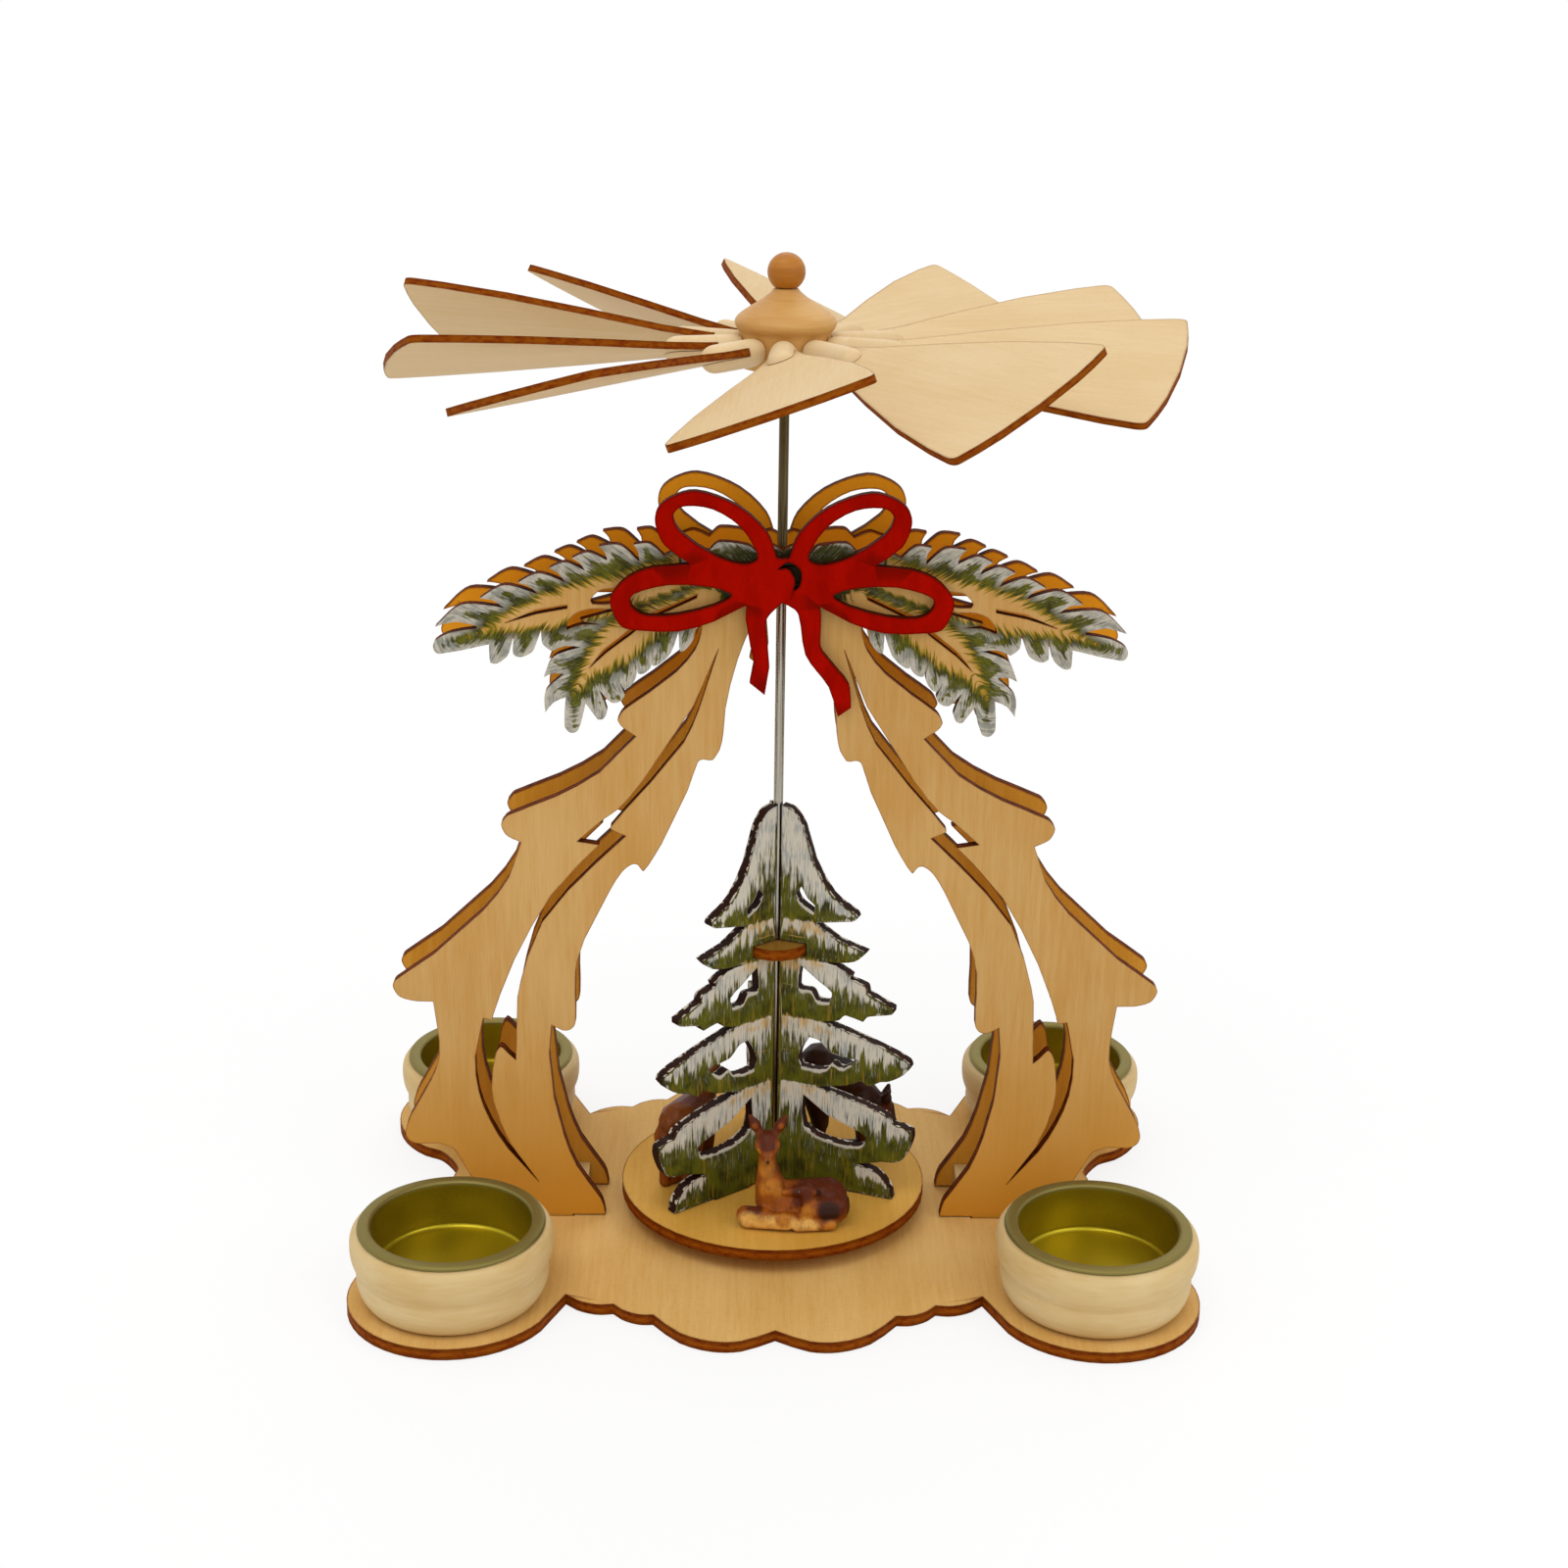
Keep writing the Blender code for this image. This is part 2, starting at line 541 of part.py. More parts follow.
def wing_loops():
    """One wing: tiers of boughs, see-through gaps, a slot for the locking disc and a tenon below."""
    edge = millimetres(outline(WING_EDGE)) + millimetres([WING_EDGE[-1][-1]])
    edge[0] = Vector((WING_INNER, edge[0].y))
    tenon_end = WING_TENON_START + WING_TENON_WIDTH
    depth = -(TURNTABLE_THICKNESS - SEAT)
    slot_low, slot_high = RING_RISE - SEAT, RING_RISE + RING_THICKNESS + SEAT
    slot_end = RING_DIAMETER / 2 + SEAT
    for x, z in ((tenon_end, 0), (tenon_end, depth), (WING_TENON_START, depth), (WING_TENON_START, 0),
                 (WING_INNER, 0), (WING_INNER, slot_low), (slot_end, slot_low), (slot_end, slot_high),
                 (WING_INNER, slot_high)):
        edge.append(Vector((x, z)))
    return [edge] + [millimetres(outline(runs)) for runs in WING_HOLES]


# Figures: capsules from one point to another, in millimetres beside the figure's own middle
DOE = [        # start, end, start radius, end radius
    ((-4, 1, 5.6), (8.6, 2, 5.6), 5.2, 5.6),
    ((8.6, 0.6, 5), (10.2, 0.2, 4.4), 5.4, 4.6),
    ((-6.2, 0.6, 6), (-6.6, 0.2, 10.2), 4.6, 4.2),
    ((-6.6, 0.2, 10.2), (-7.5, -0.2, 17.2), 4, 2.6),
    ((-7.5, -0.2, 17.2), (-7.5, -0.4, 22), 2.5, 2.7),
    ((-7.5, -0.5, 23.2), (-7.4, -2.6, 21.9), 3.2, 2.4),
    ((-7.4, -2.6, 21.9), (-7.4, -5.4, 20.2), 2.2, 1.3),
    ((-9.3, 0, 25.2), (-11.9, 0, 30), 1.4, 0.8),
    ((-5.6, 0, 25.2), (-3, 0, 30), 1.4, 0.8),
    ((-13, -3, 3), (-8.2, -4.6, 3.6), 2.6, 2.4),
    ((-12.6, -4, 1.9), (-2, -6, 1.9), 2, 1.7),
    ((-6.6, -5, 2.6), (-0.6, -5, 2.8), 2.4, 2.2),
    ((0.5, -6.2, 1.4), (9.5, -5.2, 1.4), 1.5, 1.6),
    ((5.2, -2.6, 4.8), (10.4, -1.6, 4.6), 3.9, 4.2),
    ((3.6, -3.4, 4), (3.4, -3, 8.2), 2.7, 2.2),
    ((3, -2.4, 10.2), (0.2, -2.8, 10), 2.1, 1.6),
    ((0.2, -2.8, 10), (-3, -3.2, 9.8), 1.5, 0.9),
]
STAG = [
    ((0, -5.5, 18.8), (0, 6, 18.4), 6, 5.2),
    ((-1.2, -6, 15.5), (1.2, -6, 15.5), 5.4, 5.4),
    ((0, 6.5, 19.5), (0.4, 10.4, 25), 4.6, 3),
    ((0.4, 10.4, 25.4), (0.6, 14.2, 23.6), 3.1, 1.7),
    ((-1.6, 9.6, 27.4), (-3.8, 8.8, 31), 1.3, 0.7),
    ((2.4, 9.6, 27.4), (4.6, 8.8, 31), 1.3, 0.7),
    ((-3, -6.4, 14), (-3.4, -6.6, 7), 4.2, 2.6),
    ((-3.4, -6.6, 7), (-3.6, -7.6, 1.2), 2.4, 1.8),
    ((3, -6, 14), (3.2, -6, 7), 4, 2.4),
    ((3.2, -6, 7), (3.2, -7, 1.2), 2.2, 1.7),
    ((-2.4, 6, 16), (-2.6, 6.6, 1.2), 3, 1.5),
    ((2.4, 6, 16), (2.8, 5.4, 1.2), 3, 1.5),
    ((0, -11, 20.4), (0, -12, 16.4), 1.5, 1),
    ((-3.6, -7.6, 0.9), (2.8, 5.6, 0.9), 1.6, 1.6),
    ((3.2, -7, 0.9), (-2.6, 6.6, 0.9), 1.6, 1.6),
]
HIND = [
    ((-6.5, 0.6, 23), (4.5, 0, 20.4), 6.6, 5.8),
    ((-4, 0, 13.6), (3, 0, 14), 5.6, 5.2),
    ((-6, 0, 3.4), (3, 0, 3.2), 4.8, 4.2),
    ((-8, 3.2, 18), (-7, 3.4, 9), 4.2, 2.5),
    ((-7, 3.4, 9), (-8, 3.6, 1.2), 2.3, 1.6),
    ((-8, -2.6, 18), (-6.6, -3, 9), 4.2, 2.6),
    ((-6.6, -3, 9), (-7.4, -3.2, 1.2), 2.3, 1.6),
    ((4.6, 2.6, 16), (5.2, 2.6, 1.2), 3.2, 1.6),
    ((4.8, -2.6, 16), (6, -2.8, 1.2), 3.2, 1.6),
    ((6.5, 0, 20), (11, -1.2, 13.8), 4.6, 2.9),
    ((11.4, -1.2, 13), (13, -1.8, 9), 2.9, 1.8),
    ((13, -1.8, 9), (13.4, -2, 7), 1.7, 1.3),
    ((11.2, -2.4, 14.4), (12.1, -3, 18.2), 1.6, 0.9),
    ((11.2, 0.6, 14.4), (12.4, 2, 18), 1.5, 0.9),
]
FIGURE_VOXEL = 0.8 * MM
FIGURE_DETAIL = 0.085
FIGURES = {        # limbs, bearing from the shaft, distance in from the turntable's rim, and turn
    "doe_and_fawn": (DOE, math.radians(-77.8), 15.2 * MM, math.radians(0)),
    "standing_deer": (STAG, math.radians(183), 18.3 * MM, math.radians(-25)),
    "dark_deer": (HIND, math.radians(38.7), 15.7 * MM, math.radians(0)),
}


def capsule(shape, start, end, first_radius, last_radius):
    """A round-ended tapered limb, as spheres that overlap along its length."""
    start, end = Vector(start) * MM, Vector(end) * MM
    count = max(2, math.ceil((end - start).length / (0.5 * min(first_radius, last_radius) * MM)) + 1)
    for step in range(count):
        t = step / (count - 1)
        radius = (first_radius + (last_radius - first_radius) * t) * MM
        place = Matrix.Translation(start.lerp(end, t)) @ Matrix.Scale(radius, 4)
        bmesh.ops.create_icosphere(shape, subdivisions=2, radius=1, matrix=place)


def figure(name, limbs, bearing, inset, turn, finish, parent):
    """A moulded figure with a flat foot, fused from its limbs."""
    mesh = bpy.data.meshes.new(name)
    shape = bmesh.new()
    for limb in limbs:
        capsule(shape, *limb)
    shape.to_mesh(mesh)
    shape.free()
    made = named(name, mesh, finish, parent)
    fuse = made.modifiers.new("fuse", "REMESH")
    fuse.mode = "VOXEL"
    fuse.voxel_size = FIGURE_VOXEL
    fewer = made.modifiers.new("fewer", "DECIMATE")
    fewer.ratio = FIGURE_DETAIL
    cut(made, [box_mesh(name, (0.1, 0.1, 0.1), (0, 0, -0.05))])
    made.data.shade_smooth()
    out = TURNTABLE_DIAMETER / 2 - inset
    place = (out * math.cos(bearing), out * math.sin(bearing), TABLE_TOP + SEAT)
    made.matrix_local = Matrix.Translation(place) @ Matrix.Rotation(turn, 4, "Z")
    return made


# Rotor
def blade_loop():
    """A blade along +X: narrow in its peg, wider outwards, with rounded corners and a curved tip."""
    length, spread = BLADE_TIP - BLADE_START, (BLADE_WIDTH - BLADE_ROOT_WIDTH) / 2

    def at(along, across):
        return (BLADE_START + along * length, BLADE_ROOT_WIDTH / 2 + across * spread)

    upper = outline([
        [(BLADE_START, 0), at(0, 0)],
        [at(0, 0), at(0.16, 0.14), at(0.38, 0.45), at(0.63, 0.76), at(0.83, 0.94), at(0.925, 1),
         at(0.96, 0.98), at(0.971, 0.85), at(0.992, 0.42), (BLADE_TIP, 0)]]) + [Vector((BLADE_TIP, 0))]
    lower = [Vector((point.x, -point.y)) for point in upper[-2:0:-1]]
    return upper + lower


def peg_mesh():
    """A round-ended peg along +X with a thin tenon for the hub and a slot for its blade."""
    radius = PEG_DIAMETER / 2
    shoulder = HUB_RADIUS + SEAT
    tenon = PEG_TENON_DIAMETER / 2
    profile = [(0, PEG_END), (0.55 * radius, PEG_END - 0.16 * radius),
               (0.88 * radius, PEG_END - 0.55 * radius), (radius, PEG_END - radius),
               (radius, shoulder + 0.3 * radius), (0.86 * radius, shoulder), (tenon, shoulder),
               (tenon, PEG_TENON_START), (0, PEG_TENON_START)]
    peg = bpy.data.objects.new("peg", turned_mesh("peg", profile, 10))
    peg.data.transform(Matrix.Rotation(math.radians(90), 4, "Y"))
    bpy.context.scene.collection.objects.link(peg)
    start = BLADE_START - SEAT
    length = PEG_END * 1.2 - start
    cut(peg, [box_mesh("slot", (length, 2 * PEG_DIAMETER, BLADE_THICKNESS + 2 * PEG_FIT),
                       (start + length / 2, 0, 0))])
    mesh = peg.data
    bpy.data.objects.remove(peg)
    return mesh


def hub_mesh_object(finish, parent):
    """The hub: a band with a peg hole for each blade under a ridged cone, bored at both ends."""
    top = HUB_HEIGHT
    cone = HUB_HEIGHT - HUB_BAND
    cone_radius = HUB_TOP_DIAMETER / 2
    ridge = HUB_RIDGE_DIAMETER / 2
    overhang = ridge - HUB_RADIUS
    bore = SHAFT_RADIUS + SEAT
    tenon = FINIAL_TENON_DIAMETER / 2 + SEAT
    tenon_floor = top - FINIAL_TENON - SEAT
    profile = [(tenon, top), (cone_radius, top),
               (cone_radius + 0.36 * (ridge - cone_radius), top - 0.42 * cone),
               (cone_radius + 0.7 * (ridge - cone_radius), top - 0.72 * cone),
               (ridge - 0.2 * overhang, HUB_BAND + 0.1 * cone), (ridge, HUB_BAND),
               (ridge - 0.3 * overhang, HUB_BAND - overhang), (HUB_RADIUS, HUB_BAND - 2 * overhang),
               (HUB_RADIUS, HUB_FOOT_EDGE), (HUB_RADIUS - HUB_FOOT_EDGE, 0), (bore, 0),
               (bore, SHAFT_IN_HUB + SEAT), (0, SHAFT_IN_HUB + SEAT), (0, tenon_floor), (tenon, tenon_floor)]
    hub = named("hub", turned_mesh("hub", profile, 20), finish, parent)
    cutters = []
    for number in range(BLADE_COUNT):
        hole = turned_mesh("hole", [(0, HUB_DIAMETER), (PEG_TENON_DIAMETER / 2 + PEG_FIT, HUB_DIAMETER),
                                    (PEG_TENON_DIAMETER / 2 + PEG_FIT, PEG_TENON_START - SEAT),
                                    (0, PEG_TENON_START - SEAT)], 8)
        angle = BLADE_PHASE + 2 * math.pi * number / BLADE_COUNT
        hole.transform(Matrix.Translation((0, 0, HUB_BELOW_AXES)) @ Matrix.Rotation(angle, 4, "Z")
                       @ Matrix.Rotation(math.radians(90), 4, "Y"))
        cutters.append(hole)
    cut(hub, cutters)
    hub.location.z = HUB_BOTTOM
    return hub


def finial_profile():
    radius = FINIAL_DIAMETER / 2
    neck = 0.62 * radius
    drop = math.sqrt(radius**2 - neck**2)
    first = math.acos(neck / radius)
    steps = 6
    ball = []
    for step in range(steps + 1):
        angle = math.pi / 2 - (math.pi / 2 + first) * step / steps
        ball.append((radius * math.cos(angle), drop + radius * math.sin(angle)))
    ball[0] = (0, drop + radius)
    tenon = FINIAL_TENON_DIAMETER / 2
    return ball + [(tenon, 0), (tenon, -FINIAL_TENON), (0, -FINIAL_TENON)]


# Candle holders
def holder_profile():
    pocket = CUP_INNER_RADIUS + CUP_WALL + SEAT
    floor = HOLDER_HEIGHT - CUP_DEPTH - 2 * SEAT
    return [(pocket, HOLDER_HEIGHT), (HOLDER_RIM_RADIUS, HOLDER_HEIGHT),
            (HOLDER_BEAD_RADIUS, 0.84 * HOLDER_HEIGHT), (HOLDER_BEAD_RADIUS, 0.66 * HOLDER_HEIGHT),
            (HOLDER_WAIST_RADIUS, 0.46 * HOLDER_HEIGHT), (HOLDER_BODY_RADIUS, 0.3 * HOLDER_HEIGHT),
            (HOLDER_FOOT_RADIUS, 0), (0, 0), (0, floor), (pocket, floor)]


def cup_profile():
    """A pressed cup under a flat rim, from the rim's outer edge down."""
    outer = CUP_INNER_RADIUS + CUP_WALL
    return [(CUP_INNER_RADIUS + 0.5 * CUP_WALL, CUP_RIM_THICKNESS), (CUP_RIM_RADIUS - 0.4 * CUP_RIM_THICKNESS,
            CUP_RIM_THICKNESS), (CUP_RIM_RADIUS, 0.4 * CUP_RIM_THICKNESS), (CUP_RIM_RADIUS, 0), (outer, 0),
            (outer, -CUP_DEPTH), (0, -CUP_DEPTH), (0, CUP_WALL - CUP_DEPTH),
            (CUP_INNER_RADIUS, CUP_WALL - CUP_DEPTH), (CUP_INNER_RADIUS, 0.6 * CUP_RIM_THICKNESS)]


def main():
    for old in list(bpy.data.objects):
        bpy.data.objects.remove(old)
    plywood = material("plywood", (0.78, 0.56, 0.30), 0.55)
    pale_wood = material("pale_wood", (0.86, 0.74, 0.55), 0.5)
    turned_wood = material("turned_wood", (0.74, 0.46, 0.22), 0.45)
    red_paint = material("red_paint", (0.55, 0.02, 0.01), 0.5)
    fir_paint = material("fir_paint", (0.30, 0.33, 0.14), 0.6)
    gold_metal = material("gold_metal", (0.55, 0.48, 0.22), 0.32, 1.0)
    steel = material("steel", (0.62, 0.60, 0.56), 0.25, 1.0)
    brown_resin = material("brown_resin", (0.40, 0.18, 0.07), 0.3)

    upright = Matrix.Rotation(math.radians(90), 4, "X")
    base = plate("base_plate", base_loops(), BASE_THICKNESS, plywood)
    base.location.z = BASE_THICKNESS / 2

    bow_offset = ARCH_SPACING / 2 + ARCH_THICKNESS / 2 + SEAT + BOW_THICKNESS / 2
    for name, side in (("front", -1), ("rear", 1)):
        facing = Matrix.Rotation(math.pi if side > 0 else 0.0, 4, "Z")
        arch = plate(f"{name}_arch", arch_loops(), ARCH_THICKNESS, plywood)
        place = Matrix.Translation((0, side * ARCH_SPACING / 2, BASE_TOP + SEAT))
        arch.matrix_world = place @ facing @ upright
        bow = plate(f"{name}_bow", bow_loops(), BOW_THICKNESS, red_paint)
        bow.matrix_world = Matrix.Translation((0, side * bow_offset, BASE_TOP + SEAT)) @ upright

    inside = ARCH_SPACING - ARCH_THICKNESS - 2 * SEAT
    for name, side in (("left", -1), ("right", 1)):
        block = box_mesh("spacer", (SPACER_WIDTH, inside, SPACER_HEIGHT))
        spacer = named(f"{name}_foot_spacer", block, pale_wood)
        spacer.location = (side * (SPACER_INNER + SPACER_WIDTH / 2), 0, BASE_TOP + SEAT + SPACER_HEIGHT / 2)

    reach = ARCH_SPACING / 2 + ARCH_THICKNESS / 2
    shoulder = inside / 2
    half_width, half_tenon = BRIDGE_WIDTH / 2, BRIDGE_TENON / 2
    cross = [Vector(p) for p in ((half_width, -shoulder), (half_width, shoulder), (half_tenon, shoulder),
                                 (half_tenon, reach), (-half_tenon, reach), (-half_tenon, shoulder),
                                 (-half_width, shoulder), (-half_width, -shoulder), (-half_tenon, -shoulder),
                                 (-half_tenon, -reach), (half_tenon, -reach), (half_tenon, -shoulder))]
    bush_hole = [Vector((math.cos(a), math.sin(a))) * (BUSH_DIAMETER / 2 + SEAT)
                 for a in (2 * math.pi * i / 20 for i in range(20))]
    bridge = plate("crown_bridge", [cross, bush_hole], BRIDGE_THICKNESS, pale_wood)
    bridge.location.z = BRIDGE_Z + SEAT + BRIDGE_THICKNESS / 2
    bore = SHAFT_RADIUS + RUNNING_GAP
    flange_top = BRIDGE_THICKNESS + SEAT + BUSH_FLANGE_THICKNESS
    bush = named("guide_bush", turned_mesh("guide_bush", [
        (bore, flange_top), (BUSH_FLANGE / 2, flange_top), (BUSH_FLANGE / 2, BRIDGE_THICKNESS + SEAT),
        (BUSH_DIAMETER / 2, BRIDGE_THICKNESS + SEAT), (BUSH_DIAMETER / 2, 0), (bore, 0)], 14), gold_metal)
    bush.location.z = BRIDGE_Z + SEAT

    bearing = named("bearing_cup", turned_mesh("bearing_cup", [
        (bore, BEARING_HEIGHT), (0.42 * BEARING_DIAMETER, BEARING_HEIGHT),
        (BEARING_DIAMETER / 2, BEARING_FLOOR), (BEARING_DIAMETER / 2, 0), (0, 0), (0, BEARING_FLOOR),
        (bore, BEARING_FLOOR + SHAFT_POINT)], 16), gold_metal)
    bearing.location.z = BASE_TOP + SEAT

    for name, across, along in (("front_left", -1, -1), ("front_right", 1, -1), ("rear_left", -1, 1),
                                ("rear_right", 1, 1)):
        place = Vector((across * HOLDER_X, along * HOLDER_Y, BASE_TOP + SEAT))
        holder = named(f"candle_holder_{name}", turned_mesh("holder", holder_profile(), 24), pale_wood)
        holder.location = place
        cup = named(f"tealight_cup_{name}", turned_mesh("cup", cup_profile(), 24), gold_metal)
        cup.location = place + Vector((0, 0, HOLDER_HEIGHT + SEAT))

    rotor = empty("rotor_axis", Matrix.Identity(4))
    tip = BASE_TOP + SEAT + BEARING_FLOOR + SEAT
    shaft_top = HUB_BOTTOM + SHAFT_IN_HUB
    named("shaft", turned_mesh("shaft", [
        (0, shaft_top), (SHAFT_RADIUS, shaft_top), (SHAFT_RADIUS, tip + SHAFT_POINT), (0, tip)], 16),
        steel, rotor)

    rim = [Vector((math.cos(a), math.sin(a))) * TURNTABLE_DIAMETER / 2
           for a in (2 * math.pi * i / 56 for i in range(56))]
    shaft_hole = [Vector((math.cos(a), math.sin(a))) * (SHAFT_RADIUS + SEAT)
                  for a in (2 * math.pi * i / 16 for i in range(16))]
    slots = []
    wing_turns = [WING_PHASE + 2 * math.pi * number / WING_COUNT for number in range(WING_COUNT)]
    for angle in wing_turns:
        along = Vector((math.cos(angle), math.sin(angle)))
        across = Vector((-along.y, along.x))
        corners = rectangle(WING_TENON_START - SEAT, WING_TENON_START + WING_TENON_WIDTH + SEAT,
                            -WING_THICKNESS / 2 - SEAT, WING_THICKNESS / 2 + SEAT)
        slots.append([along * corner.x + across * corner.y for corner in corners])
    turntable = plate("turntable", [rim, shaft_hole] + slots, TURNTABLE_THICKNESS, plywood, rotor)
    turntable.location.z = TABLE_TOP - TURNTABLE_THICKNESS / 2

    for number, angle in enumerate(wing_turns):
        wing = plate(f"tree_wing_{number + 1}", wing_loops(), WING_THICKNESS, fir_paint, rotor)
        place = Matrix.Translation((0, 0, TABLE_TOP + SEAT)) @ Matrix.Rotation(angle, 4, "Z")
        wing.matrix_local = place @ upright
    ring_rim = [Vector((math.cos(a), math.sin(a))) * RING_DIAMETER / 2
                for a in (2 * math.pi * i / 30 for i in range(30))]
    ring = plate("tree_locking_disc", [ring_rim, shaft_hole], RING_THICKNESS, plywood, rotor)
    ring.location.z = TABLE_TOP + SEAT + RING_RISE + RING_THICKNESS / 2

    for name, (limbs, bearing, inset, turn) in FIGURES.items():
        figure(name, limbs, bearing, inset, turn, brown_resin, rotor)

    hub_mesh_object(turned_wood, rotor)
    finial = named("finial", turned_mesh("finial", finial_profile(), 18), turned_wood, rotor)
    finial.location.z = HUB_BOTTOM + HUB_HEIGHT + SEAT

    peg_shape = peg_mesh()
    for number, pitch in enumerate(BLADE_PITCHES):
        angle = BLADE_PHASE + 2 * math.pi * number / BLADE_COUNT
        axis = empty(f"blade_axis_{number + 1:02d}", Matrix.Translation((0, 0, ROTOR_Z))
                     @ Matrix.Rotation(angle, 4, "Z") @ Matrix.Rotation(pitch, 4, "X"), rotor)
        named(f"blade_peg_{number + 1:02d}", peg_shape.copy(), pale_wood, axis)
        plate(f"blade_{number + 1:02d}", [blade_loop()], BLADE_THICKNESS, plywood, axis)


main()
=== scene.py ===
import math

import bmesh
import bpy
import numpy as np
from mathutils import Matrix, Vector
from mathutils.geometry import delaunay_2d_cdt


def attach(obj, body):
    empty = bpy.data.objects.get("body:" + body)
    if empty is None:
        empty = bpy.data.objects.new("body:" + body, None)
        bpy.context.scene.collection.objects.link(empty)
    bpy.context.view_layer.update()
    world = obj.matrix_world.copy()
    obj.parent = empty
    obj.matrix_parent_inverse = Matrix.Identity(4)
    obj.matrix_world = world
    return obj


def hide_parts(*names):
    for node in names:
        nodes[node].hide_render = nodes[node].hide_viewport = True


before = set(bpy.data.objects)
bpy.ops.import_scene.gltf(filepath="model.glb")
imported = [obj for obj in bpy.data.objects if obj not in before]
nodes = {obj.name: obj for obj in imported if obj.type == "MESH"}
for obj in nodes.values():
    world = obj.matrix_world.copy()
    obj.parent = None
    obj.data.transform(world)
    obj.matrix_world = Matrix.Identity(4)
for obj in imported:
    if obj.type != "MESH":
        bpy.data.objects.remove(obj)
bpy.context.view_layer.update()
mm = 0.001
up = Vector((0, 0, 1))


# Shader maths

def screen(red, green, blue):    # a colour as it looks on screen, 0 to 255
    parts = []
    for part in (red / 255, green / 255, blue / 255):
        parts.append(part / 12.92 if part <= 0.04045 else ((part + 0.055) / 1.055) ** 2.4)
    return (*parts, 1.0)


class Val:
    def __init__(self, tree, socket):
        self.tree = tree
        self.socket = socket

    def plug(self, target):
        self.tree.links.new(self.socket, target)

    def calc(self, operation, first, second):
        made = self.tree.nodes.new("ShaderNodeMath")
        made.operation = operation
        for slot, value in zip(made.inputs, (first, second)):
            feed(slot, value)
        return Val(self.tree, made.outputs[0])

    def __add__(self, other):
        return self.calc("ADD", self, other)

    def __radd__(self, other):
        return self.calc("ADD", other, self)

    def __sub__(self, other):
        return self.calc("SUBTRACT", self, other)

    def __rsub__(self, other):
        return self.calc("SUBTRACT", other, self)

    def __mul__(self, other):
        return self.calc("MULTIPLY", self, other)

    def __rmul__(self, other):
        return self.calc("MULTIPLY", other, self)

    def __truediv__(self, other):
        return self.calc("DIVIDE", self, other)

    def __rtruediv__(self, other):
        return self.calc("DIVIDE", other, self)

    def __abs__(self):
        return self.calc("ABSOLUTE", self, 0.0)


def feed(slot, value):
    if isinstance(value, Val):
        value.plug(slot)
    else:
        slot.default_value = value


class Nodes:
    def __init__(self, tree):
        self.tree = tree

    def node(self, kind, settings=None, sockets=None, out=0):
        made = self.tree.nodes.new(kind)
        for key, value in (settings or {}).items():
            if key == "stops":
                marks = made.color_ramp.elements
                for number, (place, color) in enumerate(value):
                    stop = marks[number] if number < 2 else marks.new(place)
                    stop.position, stop.color = place, color
            else:
                setattr(made, key, value)
        for key, value in (sockets or {}).items():
            feed(made.inputs[key], value)
        return Val(self.tree, made.outputs[out])

    def seenBy(self, *rays):     # 1 where one of these kinds of ray looks, or else 0
        found = sum(self.node("ShaderNodeLightPath", out=f"Is {ray} Ray") for ray in rays)
        return found.calc("MINIMUM", found, 1.0)


class Finish(Nodes):
    def __init__(self, name, **constants):
        self.material = bpy.data.materials.new(name)
        self.material.use_nodes = True
        super().__init__(self.material.node_tree)
        self.shader = self.tree.nodes["Principled BSDF"]
        for socket, value in constants.items():
            self.shader.inputs[socket].default_value = value

    def place(self):             # where on the piece, in millimetres
        spot = self.node("ShaderNodeTexCoord", out=3)
        return self.node("ShaderNodeVectorMath", {"operation": "SCALE"}, {0: spot, "Scale": 1 / mm})

    def along(self, number):     # one of the three millimetre coordinates
        return self.node("ShaderNodeSeparateXYZ", None, {0: self.place()}, number)

    def spread(self):            # the same spot, moved by a different amount on each piece
        chance = self.node("ShaderNodeObjectInfo", out=5)
        move = self.node("ShaderNodeCombineXYZ", None, {0: chance * 97, 1: chance * 531, 2: chance * 31})
        return self.node("ShaderNodeVectorMath", {"operation": "ADD"}, {0: self.place(), 1: move})

    def noise(self, stretch, detail=3.0, rough=0.55, at=None):
        spot = self.node("ShaderNodeVectorMath", {"operation": "MULTIPLY"},
                         {0: at or self.spread(), 1: stretch})
        return self.node("ShaderNodeTexNoise", None,
                         {"Vector": spot, "Scale": 1.0, "Detail": detail, "Roughness": rough})

    def step(self, value, low, high):
        return self.node("ShaderNodeMapRange", {"interpolation_type": "SMOOTHSTEP"},
                         {0: value, 1: low, 2: high, 3: 0.0, 4: 1.0})

    def mix(self, factor, first, second, blend="MIX"):
        return self.node("ShaderNodeMix", {"data_type": "RGBA", "blend_type": blend},
                         {0: factor, 6: first, 7: second}, 2)

    def field(self, name):       # a number kept on the mesh
        return self.node("ShaderNodeAttribute", {"attribute_name": name}, None, 2)

    def tint(self, name):        # a colour kept on the mesh
        return self.node("ShaderNodeAttribute", {"attribute_name": name}, None, 0)

    def bump(self, height, distance, strength=1.0):
        feed(self.shader.inputs["Normal"], self.node("ShaderNodeBump", None, {
            "Strength": strength, "Distance": distance, "Height": height}))

    def dress(self, color, rough=None):
        feed(self.shader.inputs["Base Color"], color)
        if rough is not None:
            feed(self.shader.inputs["Roughness"], rough)
        return self.material


# Wood finishes

